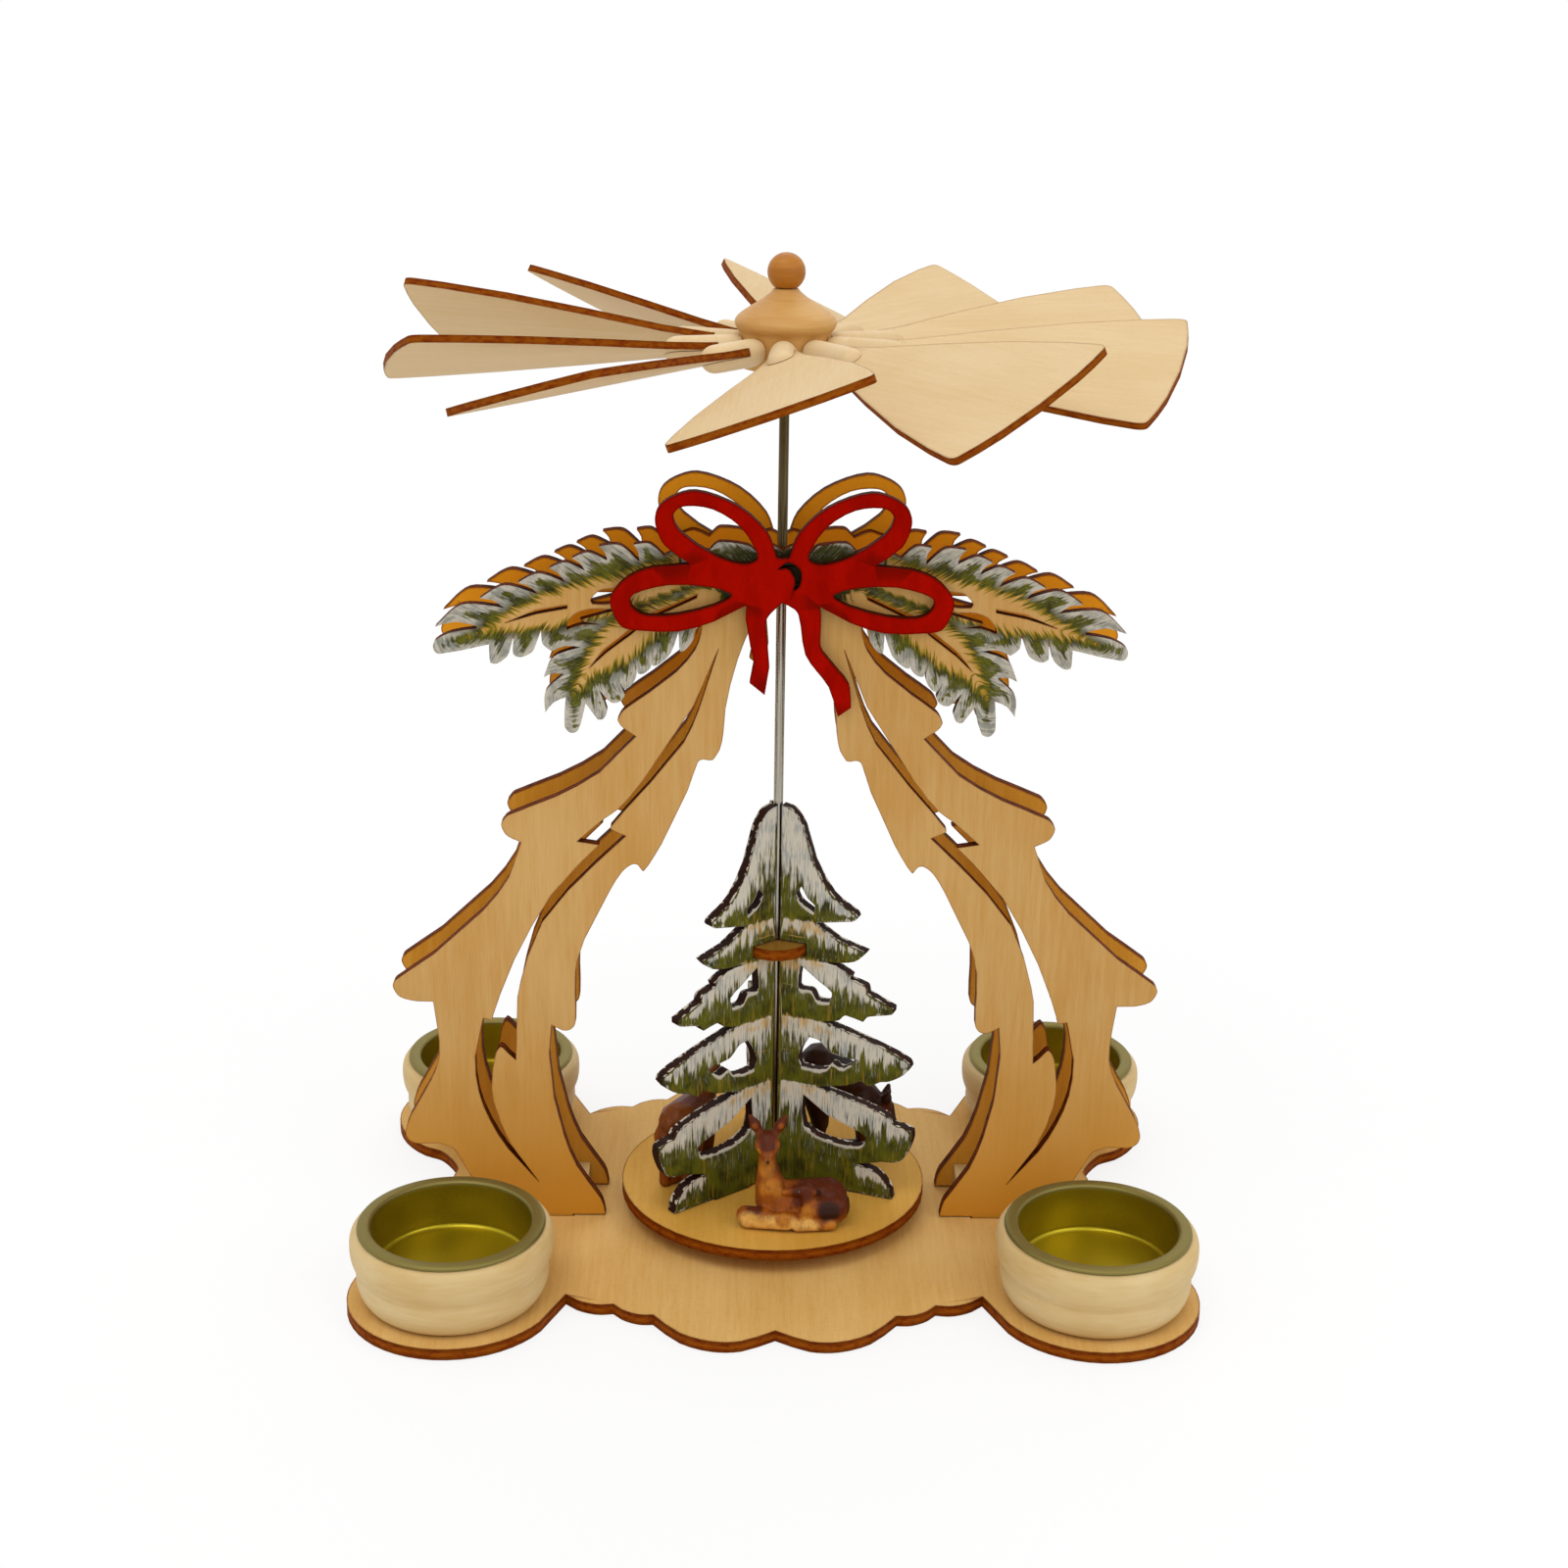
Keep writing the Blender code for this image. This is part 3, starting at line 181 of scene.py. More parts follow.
wood = {
    # leg low: a warm orange painted towards the foot, a painted reflection of light bounced up from the base
    "leg": dict(pale=screen(203, 163, 103), warm=screen(188, 139, 70), low=screen(202, 138, 34)),
    # legBack low: a brighter golden tone painted on the upper part, painted light
    "legBack": dict(pale=screen(214, 155, 60), warm=screen(196, 134, 34), low=screen(222, 148, 22)),
    # painted light: the base's plywood tone is set lighter than the legs' to make up for the weaker light on
    # its top
    "base": dict(pale=screen(221, 181, 113), warm=screen(205, 159, 86)),
    "table": dict(pale=screen(214, 165, 76), warm=screen(200, 147, 56)),
    "blade": dict(pale=screen(217, 191, 149), warm=screen(208, 178, 129)),
    "turned": dict(pale=screen(202, 158, 90), warm=screen(184, 127, 58)),
    "disc": dict(pale=screen(156, 114, 46), warm=screen(132, 92, 30)),
    "finial": dict(pale=screen(190, 124, 30), warm=screen(156, 92, 12)),
    "cream": dict(pale=screen(212, 188, 138), warm=screen(196, 163, 102)),
}
matte = {"Specular IOR Level": 0.1}
burnt = {"dark": screen(54, 17, 4), "mid": screen(110, 40, 2), "ply": screen(142, 68, 6),
         "toast": screen(138, 74, 8),
         "plies": [(0.0, "dark"), (0.3, "mid"), (0.36, "ply"), (0.62, "ply"), (0.68, "mid"), (1.0, "dark")]}


def grainColor(f, tone, across=0, fine=1.0):
    stretch = [0.035, 0.035, 0.035]
    stretch[across] = 0.75 * fine
    pores = [0.16, 0.16, 0.16]
    pores[across] = 3.2 * fine
    stretch[2] = stretch[2] if across == 2 else 0.3
    lines = f.noise(stretch, 4, 0.6)
    flecks = f.noise(pores, 2, 0.5)
    cloud = f.noise((0.05, 0.022, 0.05), 2, 0.5)
    mixed = lines * 0.5 + cloud * 0.7 + flecks * 0.25
    color = f.mix(f.step(mixed, 0.42, 1.02), tone["pale"], tone["warm"])
    dark = f.step(flecks, 0.62, 0.8) * 0.09
    return f.mix(dark, color, tone["warm"], "MULTIPLY"), lines, flecks


def plyFace(name, tone, paintedLightHeights=None, scorch=0.75):
    f = Finish(name, **matte)
    color, lines, flecks = grainColor(f, tone)
    if paintedLightHeights:                 # painted light: warmer and brighter from the first height to the second, standing in for more light on the upper part
        color = f.mix(f.step(f.along(1) + lines * 12, paintedLightHeights[0], paintedLightHeights[1]), color, tone["low"])
    gap = f.field("edgeGap") + f.noise((0.9, 0.9, 0.9), 2) * 0.35
    color = f.mix((1 - f.step(gap, 0.18, 0.75)) * scorch, color, burnt["mid"])
    f.bump(lines * 0.6 + flecks * 0.4, 0.00006, 0.5)
    return f.dress(color, 0.5 + flecks * 0.2)


def plyEdge(name, thickness, lift=0.0, plain=0.0):
    f = Finish(name, **{"Specular IOR Level": 0.03})
    depth = f.along(2) / (thickness / mm) + 0.5
    soot = f.noise((0.35, 0.35, 0.9), 4, 0.65)
    char = f.noise((1.4, 1.4, 2.4), 3, 0.6)
    stops = [(height, burnt[tone]) for height, tone in burnt["plies"]]
    layers = f.node("ShaderNodeValToRGB", {"stops": stops}, {0: depth + (char - 0.5) * 0.12})
    color = f.mix(f.step(soot * 0.7 + char * 0.4 - lift, 0.38, 0.72), layers, burnt["dark"])
    color = f.mix(plain, color, f.mix(f.step(soot, 0.4, 0.65), burnt["toast"], burnt["mid"]))
    f.bump(char, 0.0001, 0.6)
    return f.dress(color, 0.5 + char * 0.3)


def turnedWood(name, tone, across=2, fine=0.5, rough=0.42):
    f = Finish(name, **{"Specular IOR Level": 0.3, "Coat Weight": 0.06, "Coat Roughness": 0.35})
    color, lines, flecks = grainColor(f, tone, across, fine)
    rings = f.noise((0.08, 0.08, 2.2), 2, 0.5)
    color = f.mix(f.step(rings, 0.5, 0.75) * 0.35, color, tone["warm"])
    f.bump(rings * 0.6 + flecks * 0.4, 0.00008, 0.5)
    return f.dress(color, rough + flecks * 0.18)


# Plates from the frame's own outlines

smoothing = {"corner": math.radians(43), "turn": math.radians(9), "rim": 0.55 * mm}


def curvePoints(before, start, end, after, count):
    knots = [0.0]
    for first, second in ((before, start), (start, end), (end, after)):
        knots.append(knots[-1] + max(np.linalg.norm(second - first), 1e-9) ** 0.5)
    t0, t1, t2, t3 = knots
    t = (t1 + (t2 - t1) * np.arange(count) / count)[:, None]
    a1 = (t1 - t) / (t1 - t0) * before + (t - t0) / (t1 - t0) * start
    a2 = (t2 - t) / (t2 - t1) * start + (t - t1) / (t2 - t1) * end
    a3 = (t3 - t) / (t3 - t2) * end + (t - t2) / (t3 - t2) * after
    b1 = (t2 - t) / (t2 - t0) * a1 + (t - t0) / (t2 - t0) * a2
    b2 = (t3 - t) / (t3 - t1) * a2 + (t - t1) / (t3 - t1) * a3
    return (t2 - t) / (t2 - t1) * b1 + (t - t1) / (t2 - t1) * b2


def smoothLine(points, closed=True, corner=None):
    points = [np.array(point, float) for point in points]
    count = len(points)
    corner = smoothing["corner"] if corner is None else corner

    def turnAt(i):
        if not closed and i in (0, count - 1):
            return math.pi
        first, second = points[i] - points[i - 1], points[(i + 1) % count] - points[i]
        return abs(math.atan2(first[0] * second[1] - first[1] * second[0], first @ second))

    turns = [turnAt(i) for i in range(count)]
    made = []
    for i in range(count if closed else count - 1):
        j = (i + 1) % count
        start, end = points[i], points[j]
        before = 2 * start - end if turns[i] > corner else points[i - 1]
        after = 2 * end - start if turns[j] > corner else points[(j + 1) % count]
        bend = sum(turn for turn in (turns[i], turns[j]) if turn <= corner)
        steps = max(1, math.ceil(bend / smoothing["turn"] / 2))
        made.append(curvePoints(before, start, end, after, steps))
    if not closed:
        made.append(points[-1][None])
    return np.concatenate(made)


def plateFrame(facing, grain, foot):    # x across the grain, y along it from the foot, z out of the face
    z = Vector(facing).normalized()
    y = (Vector(grain) - z * z.dot(Vector(grain))).normalized()
    return Matrix.Translation((0, 0, foot * mm)) @ Matrix((y.cross(z), y, z)).transposed().to_4x4()


def plateLoops(node, matrix):
    shape = bmesh.new()
    shape.from_mesh(nodes[node].data)
    bmesh.ops.remove_doubles(shape, verts=shape.verts, dist=1e-6)
    shape.transform(matrix.inverted())
    shape.normal_update()
    heights = [vert.co.z for vert in shape.verts]
    top = max(heights)
    cap = {face for face in shape.faces if face.normal.z > 0.99 and face.calc_center_median().z > top - 1e-5}
    follow = {}
    for face in cap:
        for corner in face.loops:
            if corner.link_loop_radial_next.face not in cap:
                follow[corner.vert] = corner.link_loop_next.vert
    loops = []
    while follow:
        start, spot = follow.popitem()
        loop = [start.co.xy.copy()]
        while spot is not start:
            loop.append(spot.co.xy.copy())
            spot = follow.pop(spot)
        loops.append(loop)
    low = min(heights)
    shape.free()
    return loops, low, top


def segments(loops):
    starts = np.concatenate(loops)
    ends = np.concatenate([np.roll(loop, -1, 0) for loop in loops])
    return starts, ends


def inside(points, loops):
    starts, ends = segments(loops)
    x, y = points[:, 0:1], points[:, 1:2]
    spans = (starts[:, 1] > y) != (ends[:, 1] > y)
    rise = np.where(ends[:, 1] == starts[:, 1], 1e-12, ends[:, 1] - starts[:, 1])
    crossing = starts[:, 0] + (y - starts[:, 1]) / rise * (ends[:, 0] - starts[:, 0])
    return ((spans & (x < crossing)).sum(1) % 2) == 1


# distance to the nearest of the segments, which one it is, and how far along it
def gapTo(points, starts, ends, batch=2000):
    best = np.full(len(points), np.inf)
    which = np.zeros(len(points), int)
    share = np.zeros(len(points))
    for first in range(0, len(points), batch):
        part = points[first:first + batch, None]
        way = ends - starts
        t = np.clip(((part - starts) * way).sum(2) / np.maximum((way * way).sum(1), 1e-18), 0, 1)
        gaps = np.linalg.norm(part - starts - way * t[..., None], axis=2)
        near = gaps.argmin(1)
        rows = np.arange(len(near))
        best[first:first + batch], which[first:first + batch] = gaps[rows, near], near
        share[first:first + batch] = t[rows, near]
    return best, which, share


def plateMesh(name, loops, low, high, grid=None, paint=None):
    starts, ends = segments(loops)
    extra = []
    for loop in loops:               # a ring of points just inside the cut, which carries the scorched line
        ahead = np.roll(loop, -1, 0) - np.roll(loop, 1, 0)
        ahead /= np.maximum(np.linalg.norm(ahead, axis=1), 1e-9)[:, None]
        for side in (-1, 1):
            extra.append(loop + side * smoothing["rim"] * np.stack((-ahead[:, 1], ahead[:, 0]), 1))
    extra = np.concatenate(extra)
    extra = extra[gapTo(extra, starts, ends)[0] > 0.8 * smoothing["rim"]]
    if grid:
        corner, far = starts.min(0), starts.max(0)
        columns, rows = np.arange(corner[0], far[0], grid), np.arange(corner[1], far[1], grid)
        spots = np.stack(np.meshgrid(columns, rows), 2).reshape(-1, 2)
        extra = np.concatenate((extra, spots[gapTo(spots, starts, ends)[0] > 1.6 * smoothing["rim"]]))
    extra = extra[inside(extra, loops)]
    rim, links = [], []
    for loop in loops:
        first = len(rim)
        rim += [Vector(point) for point in loop]
        links += [(first + i, first + (i + 1) % len(loop)) for i in range(len(loop))]
    made = delaunay_2d_cdt(rim + [Vector(point) for point in extra], links, [], 0, 1e-9)
    flat = np.array([point[:] for point in made[0]])
    faces = np.array([face for face in made[2] if len(face) == 3])
    faces = faces[inside(flat[faces].mean(1), loops)]
    used = np.unique(faces)
    renumber = np.full(len(flat), -1)
    renumber[used] = np.arange(len(used))
    flat, faces = flat[used], renumber[faces]
    area = np.cross(flat[faces[:, 1]] - flat[faces[:, 0]], flat[faces[:, 2]] - flat[faces[:, 0]])
    faces[area < 0] = faces[area < 0][:, ::-1]
    ends3 = np.concatenate((faces[:, [0, 1]], faces[:, [1, 2]], faces[:, [2, 0]]))
    known = {tuple(pair) for pair in ends3.tolist()}
    border = [pair for pair in known if pair[::-1] not in known]
    count = len(flat)
    points = np.concatenate((np.c_[flat, np.full(count, high)], np.c_[flat, np.full(count, low)]))
    polygons = faces.tolist() + (faces[:, ::-1] + count).tolist()
    polygons += [(b, a, a + count, b + count) for a, b in sorted(border)]
    mesh = bpy.data.meshes.new(name)
    mesh.from_pydata(points.tolist(), [], polygons)
    kinds = [0] * len(faces) + [1] * len(faces) + [2] * len(border)
    mesh.polygons.foreach_set("material_index", kinds)
    fields = {"edgeGap": gapTo(flat, starts, ends)[0] / mm}
    if paint:
        fields.update(paint(flat / mm, [loop / mm for loop in loops]))
    for field, values in fields.items():
        both = np.tile(values, 2).astype(np.float32)
        mesh.attributes.new(field, "FLOAT", "POINT").data.foreach_set("value", both)
    mesh.update()
    return mesh


def addPiece(name, mesh, materials, body, replaced=(), matrix=None):
    piece = bpy.data.objects.new(name, mesh)
    bpy.context.scene.collection.objects.link(piece)
    for material in materials:
        mesh.materials.append(material)
    piece.matrix_world = matrix or Matrix.Identity(4)
    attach(piece, body)
    if replaced:
        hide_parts(*replaced)
    return piece


def dressPlate(node, name, facing, grain, materials, body, foot=0.0, grid=None, paint=None):
    matrix = plateFrame(facing, grain, foot)
    loops, low, high = plateLoops(node, matrix)
    middle = (low + high) / 2
    matrix = matrix @ Matrix.Translation((0, 0, middle))
    loops = [smoothLine(loop) for loop in loops]
    mesh = plateMesh(name, loops, low - middle, high - middle, grid, paint)
    return addPiece(name, mesh, materials, body, [node], matrix)


def bearing(ring, number):       # angle of one of the pieces that stand evenly around the shaft
    return math.radians(ring["phase"] + 360 / ring["count"] * number)


def outward(angle):
    return Vector((math.cos(angle), math.sin(angle), 0))


# Base and turntable

sheet = {"thick": 3.0 * mm, "blade": 1.8 * mm}
edgeThick = plyEdge("scorched_edge", sheet["thick"])
edgeBase = plyEdge("scorched_edge_warm", sheet["thick"], 0.14, 0.45)
edgeBlade = plyEdge("scorched_edge_blade", sheet["blade"], 0.2, 0.75)
edgeDisc = plyEdge("scorched_edge_disc", sheet["thick"], 0.2, 0.6)
baseWood = plyFace("base_ply", wood["base"])
tableWood = plyFace("turntable_ply", wood["table"])
discWood = plyFace("disc_ply", wood["disc"])

boards = [("base_plate", "base_board", baseWood, edgeBase, "stand"),
          ("turntable", "turntable_board", tableWood, edgeBase, "rotor"),
          ("tree_locking_disc", "tree_disc", discWood, edgeDisc, "rotor")]
for node, name, face, edge, body in boards:
    dressPlate(node, name, up, (0, 1, 0), [face, face, edge], body)
print("boards done")


# Arches with painted fir branches

branch = {    # in millimetres on the panel, x from its middle and y from its foot
    "spines": [[(0, 180), (24, 179)],
               [(24, 179), (40, 174), (55, 170), (69, 165.6), (80, 161.6)],
               [(20, 174), (32.5, 168), (41, 160.8), (48, 154.2), (53, 146)]],
    "painted": (5.0, 0.0, 0.0), "taper": (0.6, 5.4), "upper": 3.6, "dusky": (13, 24),
    "legEdge": [(43.5, 130), (42.0, 141), (39.6, 143.4), (33, 148.2), (26.4, 153.5), (21.6, 159.5),
                (20, 165), (20.6, 169.5)],
    "legTop": 169.5, "legGap": 0.6, "crown": 22, "fade": 5, "knot": (2.5, 179.5), "slant": 0.9,
    "apart": 200, "mirrored": 900,    # keep the brush strokes of each spine and side different
    "grid": 1.1 * mm, "foot": 3.3,
    "olive": screen(92, 92, 20), "deep": screen(44, 42, 10), "yellow": screen(182, 144, 40),
    # paintedShade: a dark colour painted behind the bow's knot slit and on the bridge ends in the slots,
    # standing in for shade
    "snow": screen(188, 181, 166), "frost": screen(134, 134, 124), "paintedShade": screen(44, 34, 12),
}


def branchPaint(flat, loops):
    points = np.c_[np.abs(flat[:, 0]), flat[:, 1]]
    first, last, begun, along, shift = [], [], [], [], []
    for number, spine in enumerate(branch["spines"]):
        spine = np.array(spine, float)
        lengths = np.linalg.norm(np.diff(spine, axis=0), axis=1)
        first.append(spine[:-1])
        last.append(spine[1:])
        marks = np.concatenate(([0], lengths.cumsum()))
        begun += list(number * branch["apart"] + marks[:-1])
        along += [(low / marks[-1], high / marks[-1]) for low, high in zip(marks, marks[1:])]
        shift += [branch["painted"][number]] * len(lengths)
    first, last = np.concatenate(first), np.concatenate(last)
    gap, which, share = gapTo(points, first, last)
    run = np.array(begun)[which] + share * np.linalg.norm(last - first, axis=1)[which]
    along = np.array(along)[which]
    progress = along[:, 0] + (along[:, 1] - along[:, 0]) * share
    way, off = (last - first)[which], points - first[which]
    lowest = run >= branch["apart"] * (len(branch["spines"]) - 1)
    upper = (way[:, 0] * off[:, 1] > way[:, 1] * off[:, 0]) & lowest
    gap = gap + upper * branch["upper"] * np.clip(1.6 - progress * 3, 0, 1)
    start, growth = branch["taper"]
    gap = gap + np.array(shift)[which] + np.clip((progress - start) / (1 - start), 0, 1) * growth
    legX, legZ = np.array(branch["legEdge"]).T
    beside = points[:, 0] > np.interp(points[:, 1], legZ, legX) + branch["legGap"]
    onBranch = (points[:, 1] > branch["legTop"]) | (beside & (points[:, 1] > legZ[0]))
    above = np.clip((points[:, 1] - branch["legTop"]) / branch["fade"], 0, 1)
    middle = np.where(points[:, 0] < branch["crown"], above, 1.0)
    run = run - gap * branch["slant"] + np.sign(flat[:, 0]) * branch["mirrored"]
    knot = np.linalg.norm(flat - np.array(branch["knot"]), axis=1)
    return {"spineGap": gap, "spineRun": run, "onBranch": onBranch * middle, "knotGap": knot}


def branchFinish(name, tone):
    f = Finish(name, **matte)
    bare, lines, flecks = grainColor(f, tone)
    # painted reflection: the bare wood turns warm orange towards the foot, standing in for light bounced up
    # from the base
    bare = f.mix(f.step(f.along(1) + lines * 12, 70, -8), bare, tone["low"])
    run, gap, rim = f.field("spineRun"), f.field("spineGap"), f.field("edgeGap")
    stroke = f.node("ShaderNodeCombineXYZ", None, {0: run, 1: gap, 2: 0.0})
    coarse = f.noise((1.5, 0.14, 1.0), 2, 0.5, stroke)
    fine = f.noise((3.4, 0.3, 1.0), 3, 0.6, stroke)
    dabs = f.noise((0.35, 0.35, 0.35), 2, 0.5, f.place())
    reach = gap + (coarse - 0.5) * 7 + (fine - 0.5) * 2.4
    cover = f.step(reach, 3.4, 4.4) * f.step(f.field("onBranch"), 0.3, 0.7)
    green = f.mix(f.step(fine * 0.8 + dabs * 0.4, 0.48, 0.7), branch["olive"], branch["deep"])
    green = f.mix((1 - f.step(reach, 4.0, 5.8)) * f.step(fine, 0.42, 0.56), green, branch["yellow"])
    snow = f.mix(f.step(fine + (dabs - 0.5) * 0.6, 0.42, 0.66), branch["snow"], branch["frost"])
    clear = f.step(f.field("knotGap"), *branch["dusky"])
    outside = f.step(gap, 4.5, 8.5)
    frosted = f.step(0.6 + clear * 1.3 - rim + (coarse - 0.5) * 4 + (dabs - 0.5) * 4, -0.1, 0.8) * outside
    scratch = f.step(fine, 0.57, 0.65) * f.step(gap, 5.0, 7.5) * 0.85
    tips = f.step(gap + (coarse - 0.5) * 6, 9.0, 11.5) * f.step(dabs, 0.36, 0.5) * clear
    green = f.mix((1 - clear) * 0.75, green, branch["deep"])
    white = 1 - (1 - frosted) * (1 - scratch) * (1 - tips)
    color = f.mix(cover, bare, f.mix(white, green, snow))
    scorched = 1 - f.step(rim + dabs * 0.3, 0.12, 0.5)
    color = f.mix(scorched * 0.7 * (1 - white * cover), color, burnt["mid"])
    # painted shade: a dark patch on the panel right behind the bow's knot, seen through its slit
    color = f.mix((1 - f.step(f.field("knotGap"), 4.5, 6.5)) * 0.85, color, branch["paintedShade"])
    f.bump(cover * (0.4 + fine) + flecks * 0.2, 0.00012, 0.6)
    return f.dress(color, 0.5 + fine * 0.25)


# painted light: the back faces turn brighter and warmer from 138 to 172 mm up
legBack = plyFace("arch_ply_back", wood["legBack"], (138, 172))
archFront = branchFinish("arch_ply_painted", wood["leg"])
for side, facing in (("front", -1), ("rear", 1)):
    dressPlate(f"{side}_arch", f"{side}_arch_panel", (0, facing, 0), up, [archFront, legBack, edgeThick],
               "stand", branch["foot"], branch["grid"], branchPaint)
print("arches done")


# Bows

bow = {"red": screen(192, 13, 1), "deep": screen(168, 9, 1), "edge": screen(84, 10, 3)}


def redPaint(name):
    f = Finish(name, **{"Specular IOR Level": 0.0})
    brushed = f.noise((0.25, 0.08, 0.25), 3, 0.6, f.place())
    fine = f.noise((2.2, 2.2, 2.2), 3, 0.6)
    color = f.mix(f.step(brushed * 0.8 + fine * 0.3, 0.42, 0.72), bow["red"], bow["deep"])
    rim = f.field("edgeGap") + fine * 0.5
    color = f.mix((1 - f.step(rim, 0.3, 1.3)) * 0.75, color, bow["edge"])
    f.bump(fine + brushed, 0.00008, 0.5)
    return f.dress(color, 0.48 + fine * 0.2)


def redEdge(name):
    f = Finish(name, **matte)
    soot = f.noise((0.5, 0.5, 0.5), 3, 0.6)
    f.bump(soot, 0.0001, 0.5)
    return f.dress(f.mix(f.step(soot, 0.35, 0.65), burnt["dark"], bow["edge"]), 0.55 + soot * 0.2)


bowPaint, bowEdge = redPaint("bow_red"), redEdge("bow_edge")
for side, facing in (("front", -1), ("rear", 1)):
    dressPlate(f"{side}_bow", f"{side}_ribbon_bow", (0, facing, 0), up, [bowPaint, legBack, bowEdge],
               "stand")
print("bows done")


# Tree

tree = {
    # height and reach of each line between tiers
    "tiers": [(76.6, 12.0), (66.0, 12.4), (48.8, 15.0), (29.4, 13.6)],
    "inner": -5, "reachMore": 3, "capEase": 1.7, "footPush": 1.15, "core": 0.14, "coreWidth": 12,
    "none": 60, "longest": 32, "seamMost": 30, "ledgeMost": 9.0,    # limits of the distances, in millimetres
    "grid": 1.0 * mm, "phase": -141.5, "count": 3, "foot": 10.7,
    "snow": screen(200, 192, 176), "ice": screen(150, 154, 152), "olive": screen(89, 88, 17),
    "deep": screen(46, 45, 8), "yellow": screen(152, 120, 30), "bare": screen(206, 164, 94),
    "char": screen(34, 18, 10),
}


def rises(flat, starts, ends):    # how far each segment runs above each point, and whether it does at all
    x, z = flat[:, 0:1], flat[:, 1:2]
    spans = (starts[:, 0] > x) != (ends[:, 0] > x)
    wide = np.where(ends[:, 0] == starts[:, 0], 1e-9, ends[:, 0] - starts[:, 0])
    return starts[:, 1] + (x - starts[:, 0]) / wide * (ends[:, 1] - starts[:, 1]) - z, spans


def treePaint(flat, loops):
    rim = max(loops, key=lambda loop: np.ptp(loop[:, 1]))
    lines = np.array([((tree["inner"], height), (reach, height)) for height, reach in tree["tiers"]])
    starts, ends = np.concatenate((rim, lines[:, 0])), np.concatenate((np.roll(rim, -1, 0), lines[:, 1]))
    cross, spans = rises(flat, starts, ends)
    above = np.where(spans & (cross > 1e-3), cross, tree["none"]).min(1)
    below = np.where(spans & (cross < -1e-3), -cross, tree["none"]).min(1)
    above, below = np.minimum(above, tree["longest"]), np.minimum(below, tree["longest"])
    share = above / (above + below)
    share = np.where(flat[:, 1] > tree["tiers"][0][0], share ** tree["capEase"], share)
    share = np.where(flat[:, 1] < tree["tiers"][-1][0], np.minimum(share * tree["footPush"], 1), share)
    nearCore = tree["core"] * np.clip(1 - flat[:, 0] / tree["coreWidth"], 0, 1)
    share = np.where(flat[:, 1] < tree["tiers"][1][0], share + nearCore, share)
    reached = flat[:, 0:1] < lines[:, 1, 0] + tree["reachMore"]
    rise = np.where(reached, flat[:, 1:2] - lines[:, 0, 1], tree["none"])
    nearest = np.abs(rise).argmin(1)
    seam = np.clip(rise[np.arange(len(rise)), nearest], -tree["seamMost"], tree["seamMost"])
    holes = [loop for loop in loops if loop is not rim]
    most = tree["ledgeMost"]
    ledge = np.full(len(flat), most)
    if holes:                    # how far under a gap, for the snow that lies on its lower edge
        rest, over = rises(flat, *segments(holes))
        ledge = np.minimum(np.where(over & (rest > -1e-3), rest, most).min(1), most)
    return {"share": share, "seam": seam, "ledge": ledge, "down": above}


def treeFinish(name):
    f = Finish(name, **matte)
    spot = f.spread()
    coarse = f.noise((0.9, 0.09, 1.0), 2, 0.5, spot)
    fine = f.noise((2.6, 0.2, 1.0), 3, 0.6, spot)
    dabs = f.noise((0.22, 0.22, 0.22), 2, 0.5, spot)
    fields = ("share", "seam", "ledge", "down", "edgeGap")
    share, seam, ledge, down, rim = (f.field(field) for field in fields)
    streak = (coarse - 0.5) * 1.1 + (fine - 0.5) * 0.6
    hang = seam + streak * 6     # height over the ragged line between two tiers
    green = f.mix(f.step(fine * 0.5 + dabs * 0.6, 0.42, 0.72), tree["olive"], tree["deep"])
    strokes = f.step(share, 0.5, 0.9) * f.step(coarse + (fine - 0.5) * 0.5, 0.58, 0.66) * 0.5
    green = f.mix(strokes, green, tree["yellow"])
    snow = f.mix(f.step(fine + (dabs - 0.5) * 0.5, 0.46, 0.62) * 0.85, tree["snow"], tree["ice"])
    toGreen = f.step(share + streak, 0.29, 0.5)
    thin = f.step(fine, 0.56, 0.64) * f.step(share, 0.3, 0.5) * (1 - f.step(share, 0.72, 0.9)) * 0.75
    dash = f.step(fine * 0.6 + coarse * 0.5, 0.58, 0.66) * f.step(share, 0.08, 0.3) * 0.7
    color = f.mix(toGreen * (1 - thin), f.mix(dash, snow, tree["olive"]), green)
    drip = f.step(hang, -0.2, 0.5) * (1 - f.step(seam, -0.2, 0.2)) * f.step(seam, -4.5, -3.5)
    color = f.mix(drip, color, f.mix(f.step(fine, 0.45, 0.55), tree["olive"], tree["yellow"]))
    under = (1 - f.step(hang, -0.6, 0.2)) * f.step(hang, -4.5, -1.6) * (0.12 + f.step(dabs, 0.44, 0.6) * 0.6)
    color = f.mix(under, color, f.mix(f.step(fine, 0.48, 0.6) * 0.6, tree["bare"], tree["yellow"]))
    crust = 1 - f.step(ledge + (dabs - 0.5) * 1.6 + (fine - 0.5), 0.5, 1.1)
    crust = 1 - (1 - crust) * f.step(down + rim * 0.5 + (dabs - 0.5) * 3, 0.7, 1.6)
    color = f.mix(crust * 0.9, color, tree["snow"])
    scorched = (1 - f.step(rim + dabs * 0.5, 0.22, 0.62)) * (1 - crust)
    color = f.mix(scorched * 0.6, color, burnt["dark"])
    f.bump(fine + toGreen * 0.5 + crust * 0.4, 0.00014, 0.6)
    return f.dress(color, 0.5 + fine * 0.25)


